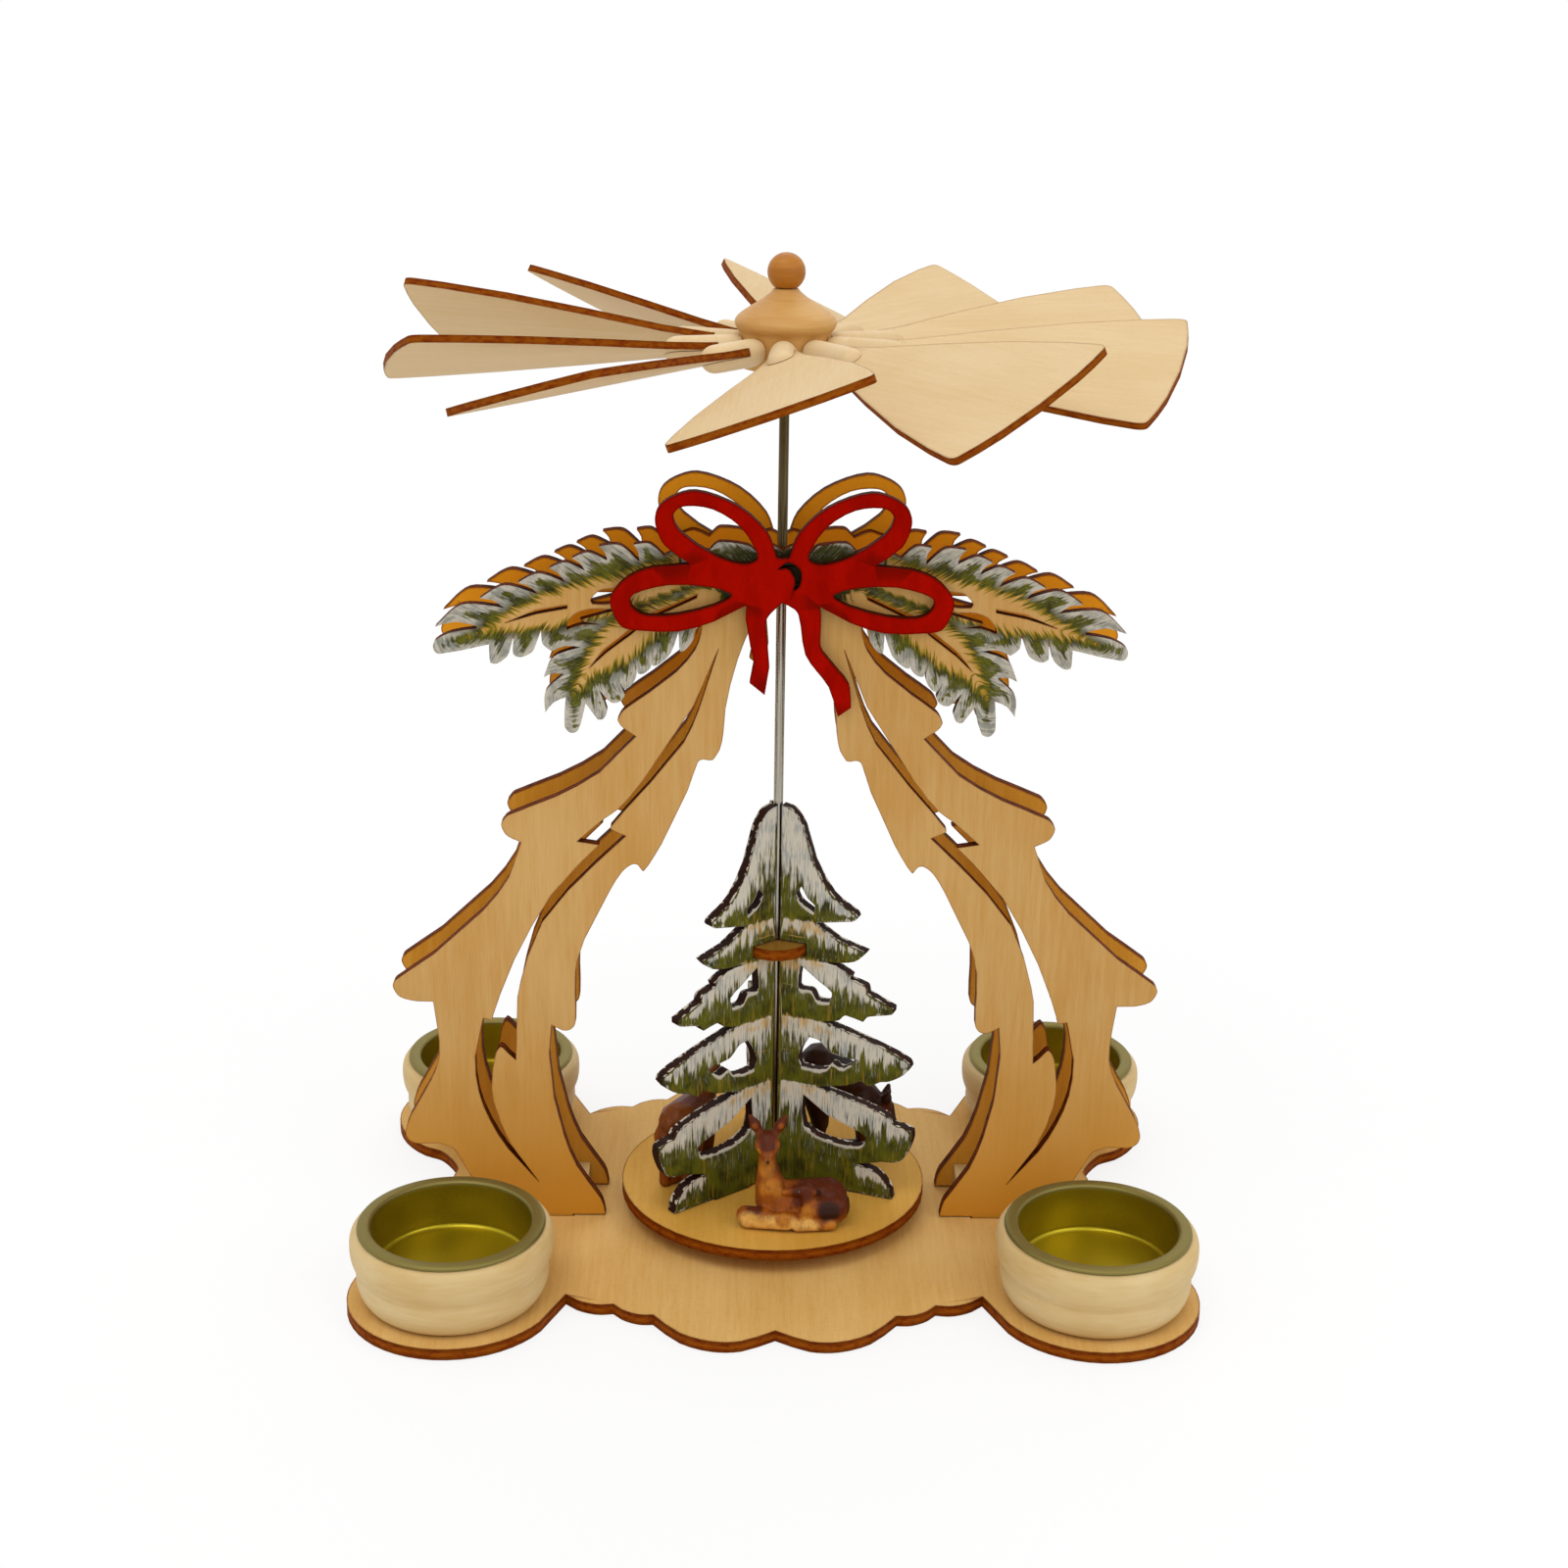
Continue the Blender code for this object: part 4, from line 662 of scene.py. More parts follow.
def firEdgeFinish(name):
    f = Finish(name, **matte)
    depth = f.along(2) / (sheet["thick"] / mm)
    soot = f.noise((0.35, 0.35, 0.9), 4, 0.65)
    dabs = f.noise((0.5, 0.5, 0.5), 3, 0.6)
    facing = f.node("ShaderNodeNewGeometry", out=1)
    lift = f.node("ShaderNodeSeparateXYZ", None, {0: facing}, 2)
    color = f.mix(f.step(soot, 0.4, 0.75), tree["char"], burnt["dark"])
    side = f.step(abs(depth) + (dabs - 0.5) * 1.3, 0.36, 0.46)
    color = f.mix(side * f.step(lift, 0.1, 0.45) * f.step(dabs, 0.46, 0.54), color, tree["snow"])
    f.bump(soot, 0.0001, 0.6)
    return f.dress(color, 0.55 + soot * 0.2)


firPaint = treeFinish("fir_paint")
firEdge = firEdgeFinish("scorched_edge_fir")
for number in range(tree["count"]):
    out = outward(bearing(tree, number))
    dressPlate(f"tree_wing_{number + 1}", f"fir_wing_{number + 1}", out.cross(up), up,
               [firPaint, firPaint, firEdge], "rotor", tree["foot"], tree["grid"], treePaint)
print("tree done")


# Blades

blades = {"count": 10, "phase": -20.9, "height": 0.237}
bladeWood = plyFace("blade_ply", wood["blade"], scorch=0.45)


def faceNormal(node):            # the way that a thin plate's broad upper face looks
    broad = [face for face in nodes[node].data.polygons if face.normal.z > 0.3]
    return max(broad, key=lambda face: face.area).normal.copy()


for number in range(blades["count"]):
    tag = f"{number + 1:02d}"
    out = outward(bearing(blades, number))
    dressPlate(f"blade_{tag}", f"wind_vane_{tag}", faceNormal(f"blade_{tag}"), out,
               [bladeWood, bladeWood, edgeBlade], f"wind_blade_{tag}")
print("blades done")


# Turned pieces

sharpEdge = math.radians(40)


def turned(name, profile, steps=96, corner=math.radians(50)):    # profile of radius and height, from the top
    line = smoothLine(profile, False, corner) * mm
    angles = np.arange(steps) * 2 * math.pi / steps
    points, rings = [], []
    for radius, height in line:
        if radius < 1e-6:
            rings.append([len(points)])
            points.append((0, 0, height))
        else:
            rings.append(list(range(len(points), len(points) + steps)))
            points += [(radius * math.cos(a), radius * math.sin(a), height) for a in angles]
    faces = []
    for upper, lower in zip(rings, rings[1:]):
        for i in range(steps):
            j = (i + 1) % steps
            if len(upper) == 1 and len(lower) == 1:
                continue
            if len(upper) == 1:
                faces.append((upper[0], lower[i], lower[j]))
            elif len(lower) == 1:
                faces.append((upper[i], lower[0], upper[j]))
            else:
                faces.append((upper[i], lower[i], lower[j], upper[j]))
    mesh = bpy.data.meshes.new(name)
    mesh.from_pydata(points, [], faces)
    shape = bmesh.new()
    shape.from_mesh(mesh)
    bmesh.ops.recalc_face_normals(shape, faces=shape.faces)
    shape.to_mesh(mesh)
    shape.free()
    mesh.shade_smooth()
    mesh.set_sharp_from_angle(angle=sharpEdge)
    return mesh


holder = {
    "profile": [(21.3, 18.9), (21.8, 19.2), (23.4, 19.2), (24.5, 18.8), (25.4, 17.6), (25.7, 15.6),
                (25.6, 13.2), (25.2, 11.4), (24.5, 9.8), (24.2, 8.9), (24.3, 7.8), (24.35, 6.2),
                (24.0, 4.2), (23.2, 2.2), (22.2, 0.8), (21.3, 0.1), (20.9, 0), (0, 0),
                (0, 5.7), (21.3, 5.7), (21.3, 18.9)],
    "x": 82, "y": 50, "foot": 3.3,
    "corners": [("front_left", -1, -1), ("front_right", 1, -1), ("rear_left", -1, 1), ("rear_right", 1, 1)],
}
cup = {
    "profile": [(20.35, 0.35), (20.7, 0.75), (21.3, 0.9), (22.8, 0.9), (23.4, 0.7), (23.7, 0.3), (23.75, 0),
                (22.9, -0.02), (21.6, -0.1), (21.0, -0.8), (21.0, -12.2), (20.4, -13), (0, -13), (0, -12.2),
                (18.6, -12.2), (19.5, -12.0), (20.05, -11.4), (20.2, -10.4), (20.2, -0.4), (20.35, 0.35)],
    "gold": screen(172, 153, 28), "dull": screen(142, 125, 20), "rim": screen(128, 116, 62),
    "rimFrom": (-0.5, 0.2), "rise": 22.8,
}


def cupMetal(name):
    f = Finish(name, **{"Metallic": 0.85})
    cloud = f.noise((0.03, 0.03, 0.05), 2, 0.5)
    grit = f.noise((2.5, 2.5, 2.5), 3, 0.6)
    scuff = f.noise((0.25, 1.1, 0.4), 4, 0.65)
    color = f.mix(f.step(cloud * 0.7 + grit * 0.35, 0.4, 0.7), cup["gold"], cup["dull"])
    # painted reflection: the top of the rim takes a greyer, duller colour that stands in for the grey sheen
    # it reflects
    rim = f.step(f.along(2), *cup["rimFrom"])
    color = f.mix(rim, color, cup["rim"])
    f.bump(grit * 0.5 + scuff * 0.5, 0.00005, 0.4)
    return f.dress(color, 0.26 + grit * 0.12 + f.step(scuff, 0.58, 0.72) * 0.12 + rim * 0.22)


creamWood = turnedWood("cream_wood", wood["cream"], 2, 0.35, 0.5)
gold = cupMetal("cup_gold")
for corner, sideways, back in holder["corners"]:
    x, y = holder["x"] * sideways * mm, holder["y"] * back * mm
    addPiece(f"holder_{corner}", turned(f"holder_{corner}", holder["profile"]), [creamWood],
             "stand", [f"candle_holder_{corner}"],
             Matrix.Translation((x, y, holder["foot"] * mm)))
    addPiece(f"cup_{corner}", turned(f"cup_{corner}", cup["profile"]), [gold],
             "stand", [f"tealight_cup_{corner}"],
             Matrix.Translation((x, y, cup["rise"] * mm)))
print("candle holders done")

hub = {
    "bottom": 232,
    "profile": [(1.8, 19.2), (2.9, 19.2), (3.6, 18.4), (5.0, 17.2), (7.1, 15.8), (9.0, 14.6), (10.8, 13.4),
                (12.0, 12.3), (12.5, 11.3), (12.35, 10.3), (11.8, 9.4), (11.3, 8.6), (11.2, 7.8), (11.2, 0.8),
                (10.9, 0.2), (10.3, 0), (1.55, 0), (1.55, 12.3), (0, 12.3), (0, 14.9), (1.8, 14.9),
                (1.8, 19.2)],
    "hole": 3.5, "holeStart": 7.1, "holeEnd": 24, "axes": 5.0,
}
finial = {"ball": 4.65, "neck": 2.88, "tenon": 1.5, "length": 4.0, "rise": 251.5, "steps": 14}
peg = {
    "profile": [(0, 30.5), (1.2, 30.3), (2.3, 29.7), (3.05, 28.6), (3.36, 27.2), (3.4, 25), (3.4, 14.4),
                (3.3, 12.6), (2.95, 11.5), (1.6, 11.5), (1.6, 7.4), (0, 7.4)],
    "slot": 2.1, "slotStart": 17.7, "slotEnd": 40, "slotAcross": 12,
}


def carve(mesh, cutters):
    target = bpy.data.objects.new("carved", mesh)
    bpy.context.scene.collection.objects.link(target)
    helpers = []
    for cutter in cutters:
        helper = bpy.data.objects.new("cutter", cutter)
        bpy.context.scene.collection.objects.link(helper)
        helpers.append(helper)
        modifier = target.modifiers.new("carve", "BOOLEAN")
        modifier.operation = "DIFFERENCE"
        modifier.object = helper
    made = bpy.data.meshes.new_from_object(target.evaluated_get(bpy.context.evaluated_depsgraph_get()))
    for helper in helpers + [target]:
        bpy.data.objects.remove(helper)
    made.shade_smooth()
    made.set_sharp_from_angle(angle=sharpEdge)
    return made


def blockMesh(size, middle):
    mesh = bpy.data.meshes.new("block")
    shape = bmesh.new()
    bmesh.ops.create_cube(shape, size=1, matrix=Matrix.Translation(Vector(middle) * mm)
                          @ Matrix.Diagonal((*(Vector(size) * mm), 1)))
    shape.to_mesh(mesh)
    shape.free()
    return mesh


turnedBrown = turnedWood("turned_brown", wood["turned"], 2, 0.45, 0.36)
finialWood = turnedWood("finial_wood", wood["finial"], 2, 0.45, 0.36)
pegWood = turnedWood("peg_cream", wood["blade"], 0, 0.4, 0.45)
alongX = Matrix.Rotation(math.radians(90), 4, "Y")
holes = []
for number in range(blades["count"]):
    radius, inner, outer = hub["hole"] / 2, hub["holeStart"], hub["holeEnd"]
    hole = turned("hole", [(0, outer), (radius, outer), (radius, inner), (0, inner)], 24)
    turn = Matrix.Rotation(bearing(blades, number), 4, "Z")
    hole.transform(Matrix.Translation((0, 0, hub["axes"] * mm)) @ turn @ alongX)
    holes.append(hole)
addPiece("rotor_hub", carve(turned("rotor_hub", hub["profile"]), holes), [turnedBrown],
         "rotor", ["hub"], Matrix.Translation((0, 0, hub["bottom"] * mm)))

drop = math.sqrt(finial["ball"] ** 2 - finial["neck"] ** 2)
sweep = math.pi / 2 + math.acos(finial["neck"] / finial["ball"])
ball = [(0.0, drop + finial["ball"])]
for number in range(1, finial["steps"] + 1):
    angle = math.pi / 2 - sweep * number / finial["steps"]
    ball.append((finial["ball"] * math.cos(angle), drop + finial["ball"] * math.sin(angle)))
ball += [(finial["tenon"], 0), (finial["tenon"], -finial["length"]), (0, -finial["length"])]
addPiece("rotor_finial", turned("rotor_finial", ball), [finialWood], "rotor", ["finial"],
         Matrix.Translation((0, 0, finial["rise"] * mm)))

pegShape = turned("peg", peg["profile"], 40)
pegShape.transform(alongX)
slotSize = (peg["slotEnd"] - peg["slotStart"], peg["slotAcross"], peg["slot"])
pegShape = carve(pegShape, [blockMesh(slotSize, (peg["slotStart"] + slotSize[0] / 2, 0, 0))])
for number in range(blades["count"]):
    tag = f"{number + 1:02d}"
    z = faceNormal(f"blade_{tag}")
    x = outward(bearing(blades, number))
    matrix = Matrix.Translation((0, 0, blades["height"])) @ Matrix((x, z.cross(x), z)).transposed().to_4x4()
    addPiece(f"vane_peg_{tag}", pegShape.copy(), [pegWood], f"wind_blade_{tag}",
             [f"blade_peg_{tag}"], matrix)
print("rotor done")

shaft = {"profile": [(0, 244), (1.0, 244), (1.25, 243.7), (1.25, 6.5), (0.25, 5.0), (0, 4.8)],
         "steel": screen(186, 180, 166), "shade": screen(146, 140, 124), "darkReflection": screen(84, 74, 50),
         "darkReflectionFrom": (172, 186)}


def shaftSteel(name):
    f = Finish(name, **{"Metallic": 1.0})
    drawn = f.noise((6.0, 6.0, 0.05), 3, 0.6, f.place())
    f.bump(drawn, 0.00004, 0.4)
    color = f.mix(f.step(drawn, 0.35, 0.65), shaft["steel"], shaft["shade"])
    # painted reflection: darker from 172 to 186 mm up, standing in for the darker surroundings the upper
    # shaft reflects
    color = f.mix(f.step(f.along(2), *shaft["darkReflectionFrom"]), color, shaft["darkReflection"])
    return f.dress(color, 0.2 + drawn * 0.15)


steel = shaftSteel("drawn_steel")
addPiece("steel_shaft", turned("steel_shaft", shaft["profile"], 32, 0.0), [steel],
         "rotor", ["shaft"])
print("shaft done")


# Small pieces that keep the frame's own shape

bridge = {"panelFrom": (6.9, 7.1)}


def bridgeWood(name):            # pale between the panels, with painted shade on the ends in their slots
    f = Finish(name, **matte)
    color, lines, flecks = grainColor(f, wood["cream"])
    # painted shade: the ends beyond the panels' faces take the dark shade colour
    color = f.mix(f.step(abs(f.along(1)), *bridge["panelFrom"]), color, branch["paintedShade"])
    f.bump(lines, 0.00006, 0.5)
    return f.dress(color, 0.5 + flecks * 0.2)


bare = {bridgeWood("bridge_wood"): ["crown_bridge"], creamWood: ["left_foot_spacer", "right_foot_spacer"],
        gold: ["guide_bush", "bearing_cup"]}
for material, covered in bare.items():
    for node in covered:
        nodes[node].data.materials.clear()
        nodes[node].data.materials.append(material)
print("small pieces done")


# Deer

deer = {"voxel": 0.42 * mm, "foot": 10.7, "smooth": 3, "spacing": 0.35, "soft": 0.45, "cut": 100,
        "fox": screen(146, 74, 16), "red": screen(88, 34, 10), "tan": screen(178, 110, 32),
        "cream": screen(222, 168, 84), "brown": screen(120, 60, 12), "dark": screen(48, 21, 9),
        "black": screen(18, 10, 7), "eye": screen(8, 6, 5), "eyeLight": screen(30, 18, 10)}
doeLimbs = [    # start, end and the radius at each, in millimetres
    ((-4, 1, 5.6), (8.6, 2, 5.6), 5.2, 5.6), ((8.6, 0.6, 5), (10.2, 0.2, 4.4), 5.4, 4.6),
    ((-6.2, 0.6, 6), (-6.6, 0.2, 10.2), 4.6, 4.2), ((-6.6, 0.2, 10.2), (-7.5, -0.2, 17.2), 4.0, 2.5),
    ((-7.5, -0.2, 17.2), (-7.5, -0.4, 22), 2.4, 2.6), ((-7.5, -0.5, 23.4), (-7.4, -2.6, 22.0), 3.1, 2.3),
    ((-7.4, -2.6, 22.0), (-7.4, -5.2, 20.4), 2.1, 1.35), ((-7.4, -5.2, 20.4), (-7.4, -5.8, 19.9), 1.3, 1.15),
    ((-9.1, 0.2, 25.0), (-10.9, 0.1, 28.0), 1.1, 1.55), ((-10.9, 0.1, 28.0), (-12.1, 0, 30.4), 1.5, 0.6),
    ((-5.8, 0.2, 25.0), (-4.0, 0.1, 28.0), 1.1, 1.55), ((-4.0, 0.1, 28.0), (-2.8, 0, 30.4), 1.5, 0.6),
    ((-9.5, -1.2, 22.6), (-9.1, -2.2, 21.6), 1.4, 1.1), ((-5.4, -1.2, 22.6), (-5.7, -2.2, 21.6), 1.4, 1.1),
    ((-13, -3, 3), (-8.2, -4.6, 3.6), 2.6, 2.3), ((-12.6, -4, 1.9), (-2, -6, 1.9), 2.0, 1.6),
    ((-6.4, -5, 2.6), (-0.6, -5, 2.8), 2.3, 2.1), ((0.5, -6.2, 1.4), (9.5, -5.2, 1.4), 1.4, 1.6),
    ((5.2, -2.6, 4.8), (10.4, -1.6, 4.6), 3.9, 4.2), ((3.6, -3.4, 4), (3.4, -3, 8.2), 2.6, 2.1),
    ((3, -2.4, 10.2), (0.2, -2.8, 10), 2.0, 1.5), ((0.2, -2.8, 10), (-3, -3.2, 9.8), 1.4, 0.8),
    ((3.6, -3.6, 10.4), (5.0, -3.6, 10.2), 0.8, 1.1), ((5.0, -3.6, 10.2), (6.6, -3.2, 9.8), 1.1, 0.5),
]
doePaint = [    # middle, radius and colour of each soft patch, painted in turn
    ((0, 0, 6), 60, "fox"), ((7, 3, 11), 9, "red"), ((11, 0, 7.5), 8, "red"), ((9.4, -5.2, 6.6), 5.0, "red"),
    ((8.8, -6, 5.4), 3.8, "dark"), ((14.4, -0.6, 4), 3.8, "dark"), ((2, -3, 10.4), 4.4, "red"),
    ((6, -3.4, 10.2), 1.6, "dark"), ((3.0, -6, 5.5), 2.6, "tan"), ((2.8, -5.8, 2.8), 2.2, "tan"),
    ((0.6, -4.4, 7.4), 2.2, "red"), ((-6.4, -4, 10.5), 4.4, "tan"), ((-6.8, -4.4, 7), 3.4, "fox"),
    ((-7.9, -3, 16.5), 3.4, "tan"), ((-5.6, 2.2, 15), 5.0, "red"), ((-7.5, -1.2, 25), 3.4, "red"),
    ((-11, 0, 28.5), 3.6, "red"), ((-4, 0, 28.5), 3.6, "red"), ((-10.9, -1.4, 28), 1.1, "fox"),
    ((-4, -1.4, 28), 1.1, "fox"), ((-7.45, -3.4, 23.4), 2.6, "red"), ((-9.5, -2.8, 21.4), 1.5, "tan"),
    ((-5.4, -2.8, 21.4), 1.5, "fox"), ((-7.4, -6.2, 19.4), 1.7, "tan"), ((-7.4, -6.6, 20.3), 0.7, "dark"),
    ((-10.8, -4.6, 6), 3.0, "red"), ((-12.4, -6, 1.4), 4.4, "cream"), ((-9, -7, 1.2), 4.2, "cream"),
    ((-6, -7.6, 1.2), 4.4, "cream"), ((-1.5, -7.6, 1.2), 4, "cream"), ((-3.2, -7.2, 3.8), 2.8, "tan"),
    ((3, -7.8, 0.8), 4.4, "cream"), ((9.6, -6.8, 0.8), 3, "tan"),
]
stagLimbs = [
    ((0, -5.5, 18.8), (0, 6, 18.4), 6.0, 5.2), ((-1.2, -6, 15.5), (1.2, -6, 15.5), 5.4, 5.4),
    ((0, 6.5, 19.5), (0.4, 10.4, 25), 4.6, 2.9), ((0.4, 10.4, 25.4), (0.6, 14.2, 23.6), 3.0, 1.6),
    ((-1.6, 9.6, 27.2), (-3.0, 9.1, 29.4), 1.1, 1.3), ((-3.0, 9.1, 29.4), (-3.9, 8.8, 31.2), 1.2, 0.4),
    ((2.4, 9.6, 27.2), (3.8, 9.1, 29.4), 1.1, 1.3), ((3.8, 9.1, 29.4), (4.7, 8.8, 31.2), 1.2, 0.4),
    ((-3, -6.4, 14), (-3.4, -6.6, 7), 4.2, 2.4), ((-3.4, -6.6, 7), (-3.6, -7.6, 1.2), 2.2, 1.6),
    ((3, -6, 14), (3.2, -6, 7), 4.0, 2.3), ((3.2, -6, 7), (3.2, -7, 1.2), 2.1, 1.5),
    ((-2.4, 6, 16), (-2.6, 6.6, 1.2), 3.0, 1.4), ((2.4, 6, 16), (2.8, 5.4, 1.2), 3.0, 1.4),
    ((0, -11, 20.4), (0, -12, 16.4), 1.4, 0.9), ((-3.6, -7.6, 0.9), (2.8, 5.6, 0.9), 1.6, 1.6),
    ((3.2, -7, 0.9), (-2.6, 6.6, 0.9), 1.6, 1.6),
]
stagPaint = [((0, 0, 16), 60, "brown"), ((0, 0, 27), 8, "red"), ((-7, -6, 14), 6.5, "fox"),
             ((6.5, 2, 16), 6, "red"), ((4, 10, 22), 5, "red"), ((0, -12.4, 18), 1.8, "red"),
             ((0, -7.6, 1), 5, "fox"), ((0, 6, 1), 5, "fox"), ((0.6, 15.4, 23.4), 1.6, "dark")]
hindLimbs = [
    ((-6.5, 0.6, 24.8), (1.4, 0, 20.4), 6.8, 5.4), ((-4.5, 0, 16.4), (1.6, 0, 16), 5.0, 4.8),
    ((-7.4, 0, -0.6), (5.4, 0, -0.6), 3.0, 2.8),
    ((-8, 3.2, 18), (-7, 3.4, 9), 4.2, 2.4), ((-7, 3.4, 9), (-8, 3.6, 1.2), 2.2, 1.5),
    ((-8, -2.6, 18), (-6.6, -3, 9), 4.2, 2.5), ((-6.6, -3, 9), (-7.4, -3.2, 1.2), 2.2, 1.5),
    ((4.6, 2.6, 16), (5.2, 2.6, 1.2), 3.2, 1.5), ((4.8, -2.6, 16), (6, -2.8, 1.2), 3.2, 1.5),
    ((3.0, 0, 19.4), (10.6, -1.2, 13), 4.4, 2.6), ((11.4, -1.2, 13), (13, -1.8, 9), 2.8, 1.8),
    ((13, -1.8, 9), (13.4, -2, 7), 1.7, 1.2), ((11.1, -2.4, 14.2), (11.8, -2.8, 16.4), 1.2, 1.5),
    ((11.8, -2.8, 16.4), (12.2, -3.0, 18.6), 1.4, 0.6), ((11.2, 0.6, 14.4), (12.0, 1.5, 16.4), 1.2, 1.4),
    ((12.0, 1.5, 16.4), (12.5, 2.1, 18.3), 1.3, 0.6),
]
hindPaint = [((0, 0, 14), 60, "dark"), ((0, -6, 8), 7, "red"), ((5.6, -4, 4), 4.5, "red"),
             ((11.4, -2.8, 13.4), 2.4, "red"), ((13.6, -2.2, 6.6), 1.8, "black"), ((-2, 1, 28), 6, "black")]
herd = {    # node, limbs, paint, place, turn, eyes
    "doe": ("doe_and_fawn", doeLimbs, doePaint, (5.51, -25.5), 0,
            [((-9.25, -2.95, 22.9), 0.48), ((-5.6, -2.95, 22.9), 0.48), ((0.9, -4.3, 10.5), 0.45)]),
    "stag": ("standing_deer", stagLimbs, stagPaint, (-22.96, -1.2), -25,
             [((-1.9, 12.2, 26.3), 0.5), ((2.9, 12.2, 26.3), 0.5)]),
    "hind": ("dark_deer", hindLimbs, hindPaint, (19.97, 16.0), 0,
             [((12.9, -3.8, 11.6), 0.5), ((13.6, 0.6, 11.6), 0.5)]),
}


def figureMesh(name, limbs, patches):
    shape = bmesh.new()
    for start, end, firstRadius, lastRadius in limbs:
        start, end = Vector(start) * mm, Vector(end) * mm
        apart = deer["spacing"] * min(firstRadius, lastRadius) * mm
        count = max(2, math.ceil((end - start).length / apart) + 1)
        for number in range(count):
            t = number / (count - 1)
            size = (firstRadius + (lastRadius - firstRadius) * t) * mm
            place = Matrix.Translation(start.lerp(end, t))
            bmesh.ops.create_icosphere(shape, subdivisions=2, radius=size, matrix=place)
    rough = bpy.data.meshes.new(name)
    shape.to_mesh(rough)
    shape.free()
    helper = bpy.data.objects.new(name, rough)
    bpy.context.scene.collection.objects.link(helper)
    fuse = helper.modifiers.new("fuse", "REMESH")
    fuse.mode = "VOXEL"
    fuse.voxel_size = deer["voxel"]
    relax = helper.modifiers.new("relax", "SMOOTH")
    relax.iterations = deer["smooth"]
    mesh = bpy.data.meshes.new_from_object(helper.evaluated_get(bpy.context.evaluated_depsgraph_get()))
    bpy.data.objects.remove(helper)
    mesh = carve(mesh, [blockMesh([deer["cut"]] * 3, (0, 0, -deer["cut"] / 2))])    # flat under the feet
    points = np.empty(len(mesh.vertices) * 3)
    mesh.vertices.foreach_get("co", points)
    points = points.reshape(-1, 3) / mm
    colors = np.ones((len(points), 4))
    for middle, radius, color in patches:
        gap = np.linalg.norm(points - np.array(middle), axis=1)
        share = np.clip((radius - gap) / (deer["soft"] * radius), 0, 1)[:, None]
        share = share * share * (3 - 2 * share)
        colors = colors * (1 - share) + np.array(deer[color]) * share
    kept = mesh.attributes.new("coat", "FLOAT_COLOR", "POINT")
    kept.data.foreach_set("color", colors.astype(np.float32).ravel())
    mesh.shade_smooth()
    return mesh


def resin(name):
    f = Finish(name, **{"Specular IOR Level": 0.12, "Coat Weight": 0.05, "Coat Roughness": 0.12})
    hair = f.noise((1.3, 1.3, 0.5), 3, 0.65, f.place())
    blotch = f.noise((0.35, 0.35, 0.35), 2, 0.5, f.place())
    color = f.mix(f.step(hair * 0.6 + blotch * 0.5, 0.45, 0.75) * 0.45, f.tint("coat"), deer["dark"])
    f.bump(hair * 0.7 + blotch * 0.5, 0.00035, 0.6)
    return f.dress(color, 0.32 + hair * 0.2)


def eyeGloss(name):
    f = Finish(name, **{"Coat Weight": 1.0, "Coat Roughness": 0.05})
    cloud = f.noise((2, 2, 2), 2, 0.5)
    return f.dress(f.mix(cloud, deer["eye"], deer["eyeLight"]), 0.1 + cloud * 0.1)


coat, eyeBlack = resin("painted_resin"), eyeGloss("eye_gloss")
for name, (node, limbs, patches, place, turn, eyes) in herd.items():
    stand = Matrix.Translation(Vector((*place, deer["foot"])) * mm)
    matrix = stand @ Matrix.Rotation(math.radians(turn), 4, "Z")
    addPiece(f"{name}_figure", figureMesh(name, limbs, patches), [coat],
             "rotor", [node], matrix)
    shape = bmesh.new()
    for middle, radius in eyes:
        bmesh.ops.create_uvsphere(shape, u_segments=14, v_segments=10, radius=radius * mm,
                                  matrix=Matrix.Translation(Vector(middle) * mm))
    mesh = bpy.data.meshes.new(f"{name}_eyes")
    shape.to_mesh(mesh)
    shape.free()
    mesh.shade_smooth()
    addPiece(f"{name}_eyes", mesh, [eyeBlack], "rotor", (), matrix)
print("deer done")


# Stage, light and camera

stage = {"floor": (0.9, 0.9, 0.9, 1), "floorLight": (0.92, 0.92, 0.92, 1), "white": (1, 1, 1, 1),
         "ambient": 0.78, "hold": 0.8, "clear": (150, 420), "reach": 4, "drop": 0.0003, "aim": (0, 0, 0.12),
         "lamps": [("key", (-0.45, -0.75, 1.7), 1.1, 9.0), ("fill", (0.95, -0.85, 0.95), 1.0, 3.6),
                   ("back", (0.15, 0.8, 1.2), 1.0, 3.0)]}


def stageWorld():
    world = bpy.data.worlds.new("studio")
    bpy.context.scene.world = world
    world.use_nodes = True
    sky = world.node_tree.nodes["Background"]
    seen = Nodes(world.node_tree).seenBy("Camera", "Glossy", "Transmission")
    feed(sky.inputs["Color"], stage["white"])
    feed(sky.inputs["Strength"], seen * (1 - stage["ambient"]) + stage["ambient"])


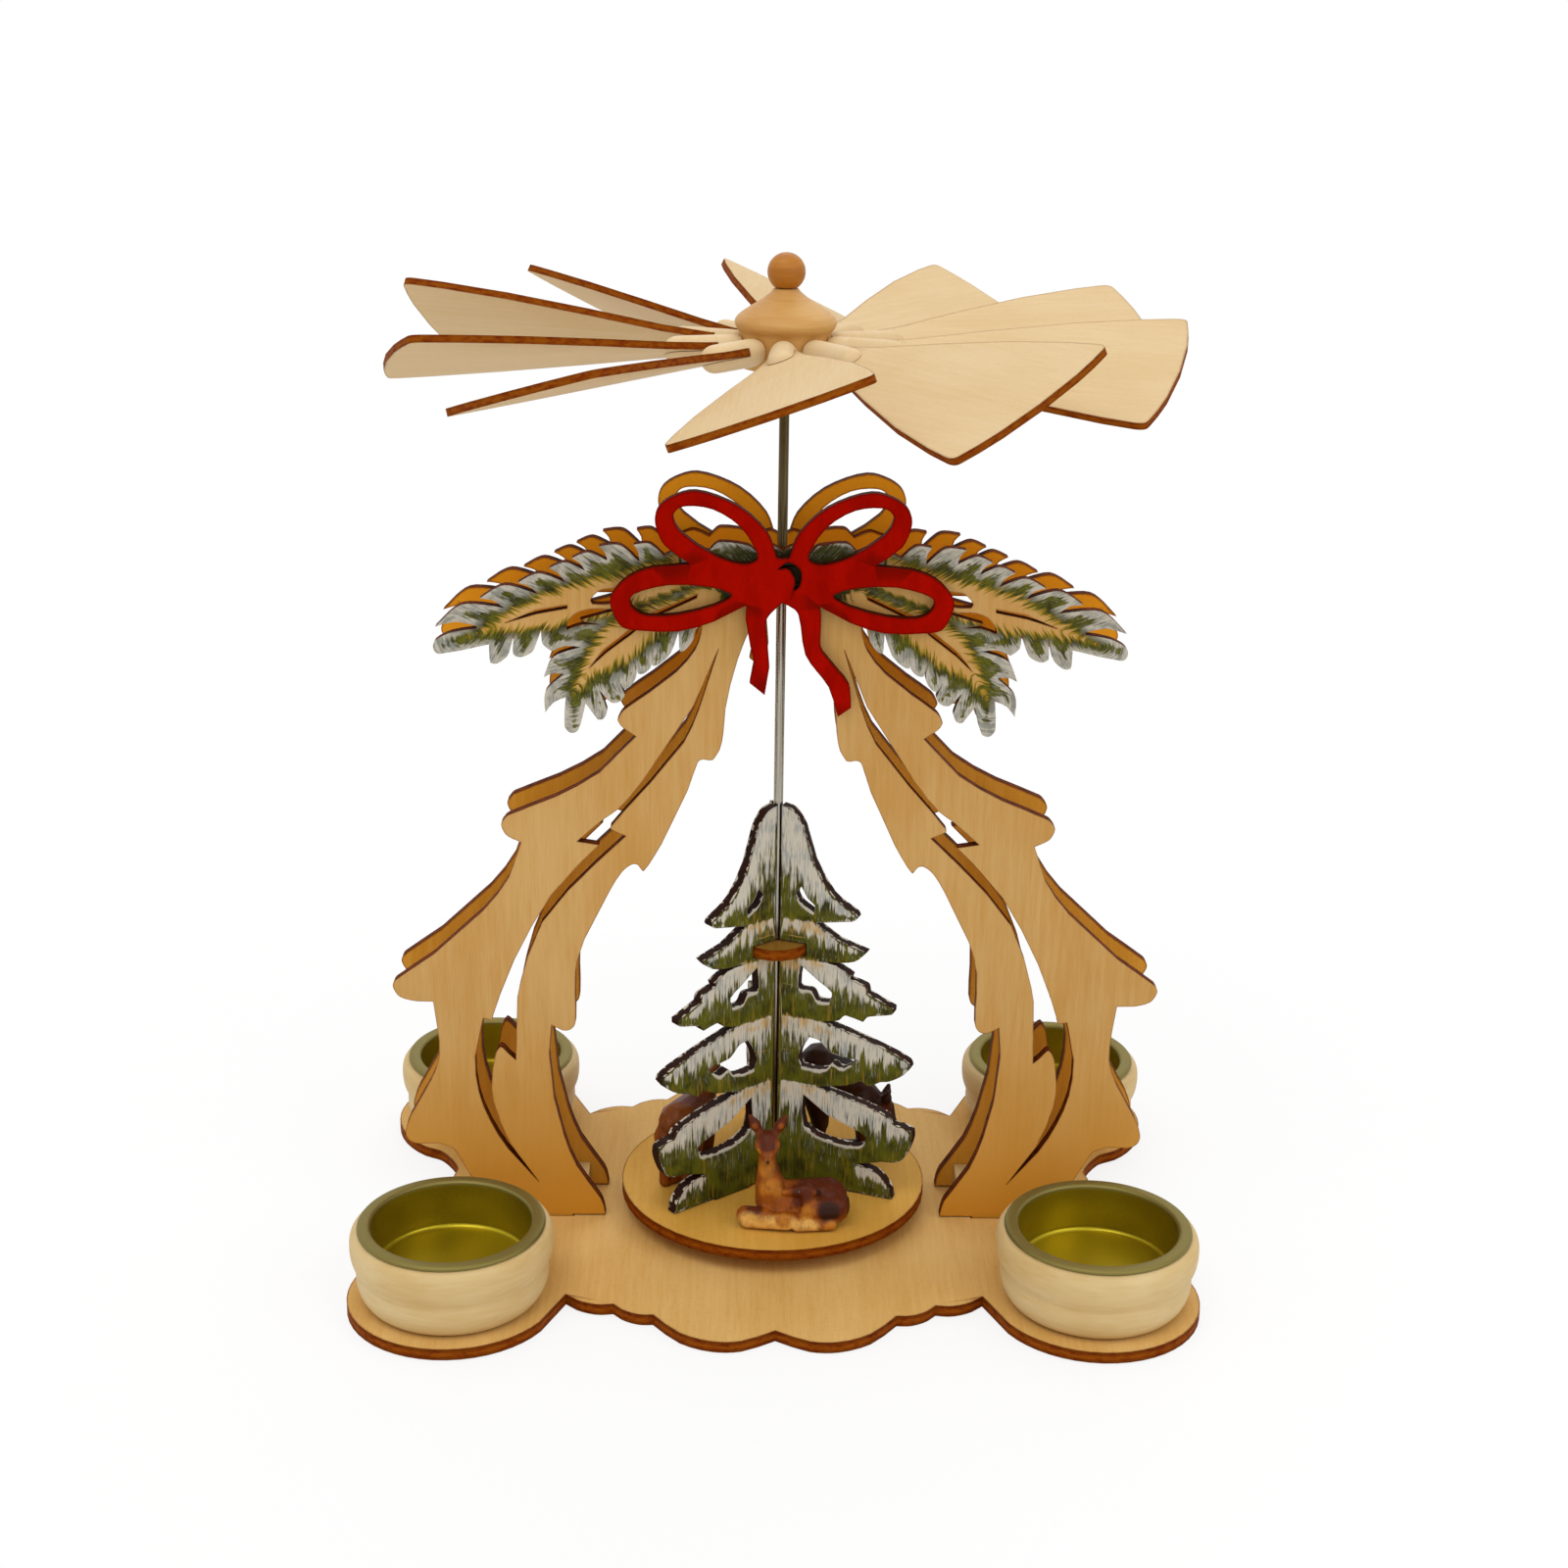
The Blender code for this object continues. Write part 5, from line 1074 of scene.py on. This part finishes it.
def stageFloor():
    f = Finish("studio_floor")
    cloud = f.noise((0.004, 0.004, 0.004), 2, 0.5, f.place())
    f.dress(f.mix(cloud, stage["floor"], stage["floorLight"]), 0.9)
    far = f.step(f.node("ShaderNodeVectorMath", {"operation": "LENGTH"}, {0: f.place()}, 1), *stage["clear"])
    white = f.seenBy("Camera", "Glossy") * (stage["hold"] + far * (1 - stage["hold"]))
    glow = f.node("ShaderNodeEmission", None, {"Color": stage["white"]})
    blend = f.node("ShaderNodeMixShader", None, {0: white, 1: Val(f.tree, f.shader.outputs[0]), 2: glow})
    blend.plug(f.tree.nodes["Material Output"].inputs[0])
    mesh = bpy.data.meshes.new("studio_floor")
    corners = [(x * stage["reach"], y * stage["reach"], -stage["drop"])
               for x, y in ((-1, -1), (1, -1), (1, 1), (-1, 1))]
    mesh.from_pydata(corners, [], [range(len(corners))])
    mesh.materials.append(f.material)
    floor = bpy.data.objects.new("studio_floor", mesh)
    bpy.context.scene.collection.objects.link(floor)


def stageLamps():
    aim = Vector(stage["aim"])
    for name, place, size, power in stage["lamps"]:
        light = bpy.data.lights.new(name, "AREA")
        light.size, light.energy = size, power
        lamp = bpy.data.objects.new(name, light)
        bpy.context.scene.collection.objects.link(lamp)
        lamp.location = place
        lamp.rotation_euler = (aim - Vector(place)).to_track_quat("-Z", "Y").to_euler()


view = {"place": (-11.09, -585.67, 324.07), "yaw": -1.129, "down": 18.594, "roll": 0.90, "lens": 54.676,
        "sensor": 36, "shift": (0.0022, -0.0072)}    # millimetres and degrees


def stageCamera():
    yaw, down, roll = (math.radians(view[key]) for key in ("yaw", "down", "roll"))
    right = Vector((math.cos(yaw), math.sin(yaw), 0))
    ahead = Vector((-math.sin(yaw) * math.cos(down), math.cos(yaw) * math.cos(down), -math.sin(down)))
    top = right.cross(ahead)
    right, top = right * math.cos(roll) + top * math.sin(roll), top * math.cos(roll) - right * math.sin(roll)
    lens = bpy.data.cameras.new("photo_view")
    lens.lens, lens.sensor_width = view["lens"], view["sensor"]
    lens.shift_x, lens.shift_y = view["shift"]
    camera = bpy.data.objects.new("photo_view", lens)
    bpy.context.scene.collection.objects.link(camera)
    turn = Matrix((right, top, -ahead)).transposed().to_4x4()
    camera.matrix_world = Matrix.Translation(Vector(view["place"]) * mm) @ turn
    bpy.context.scene.camera = camera


stageWorld()
stageFloor()
stageLamps()
stageCamera()
bpy.context.scene.view_settings.view_transform = "Standard"
print("stage done")
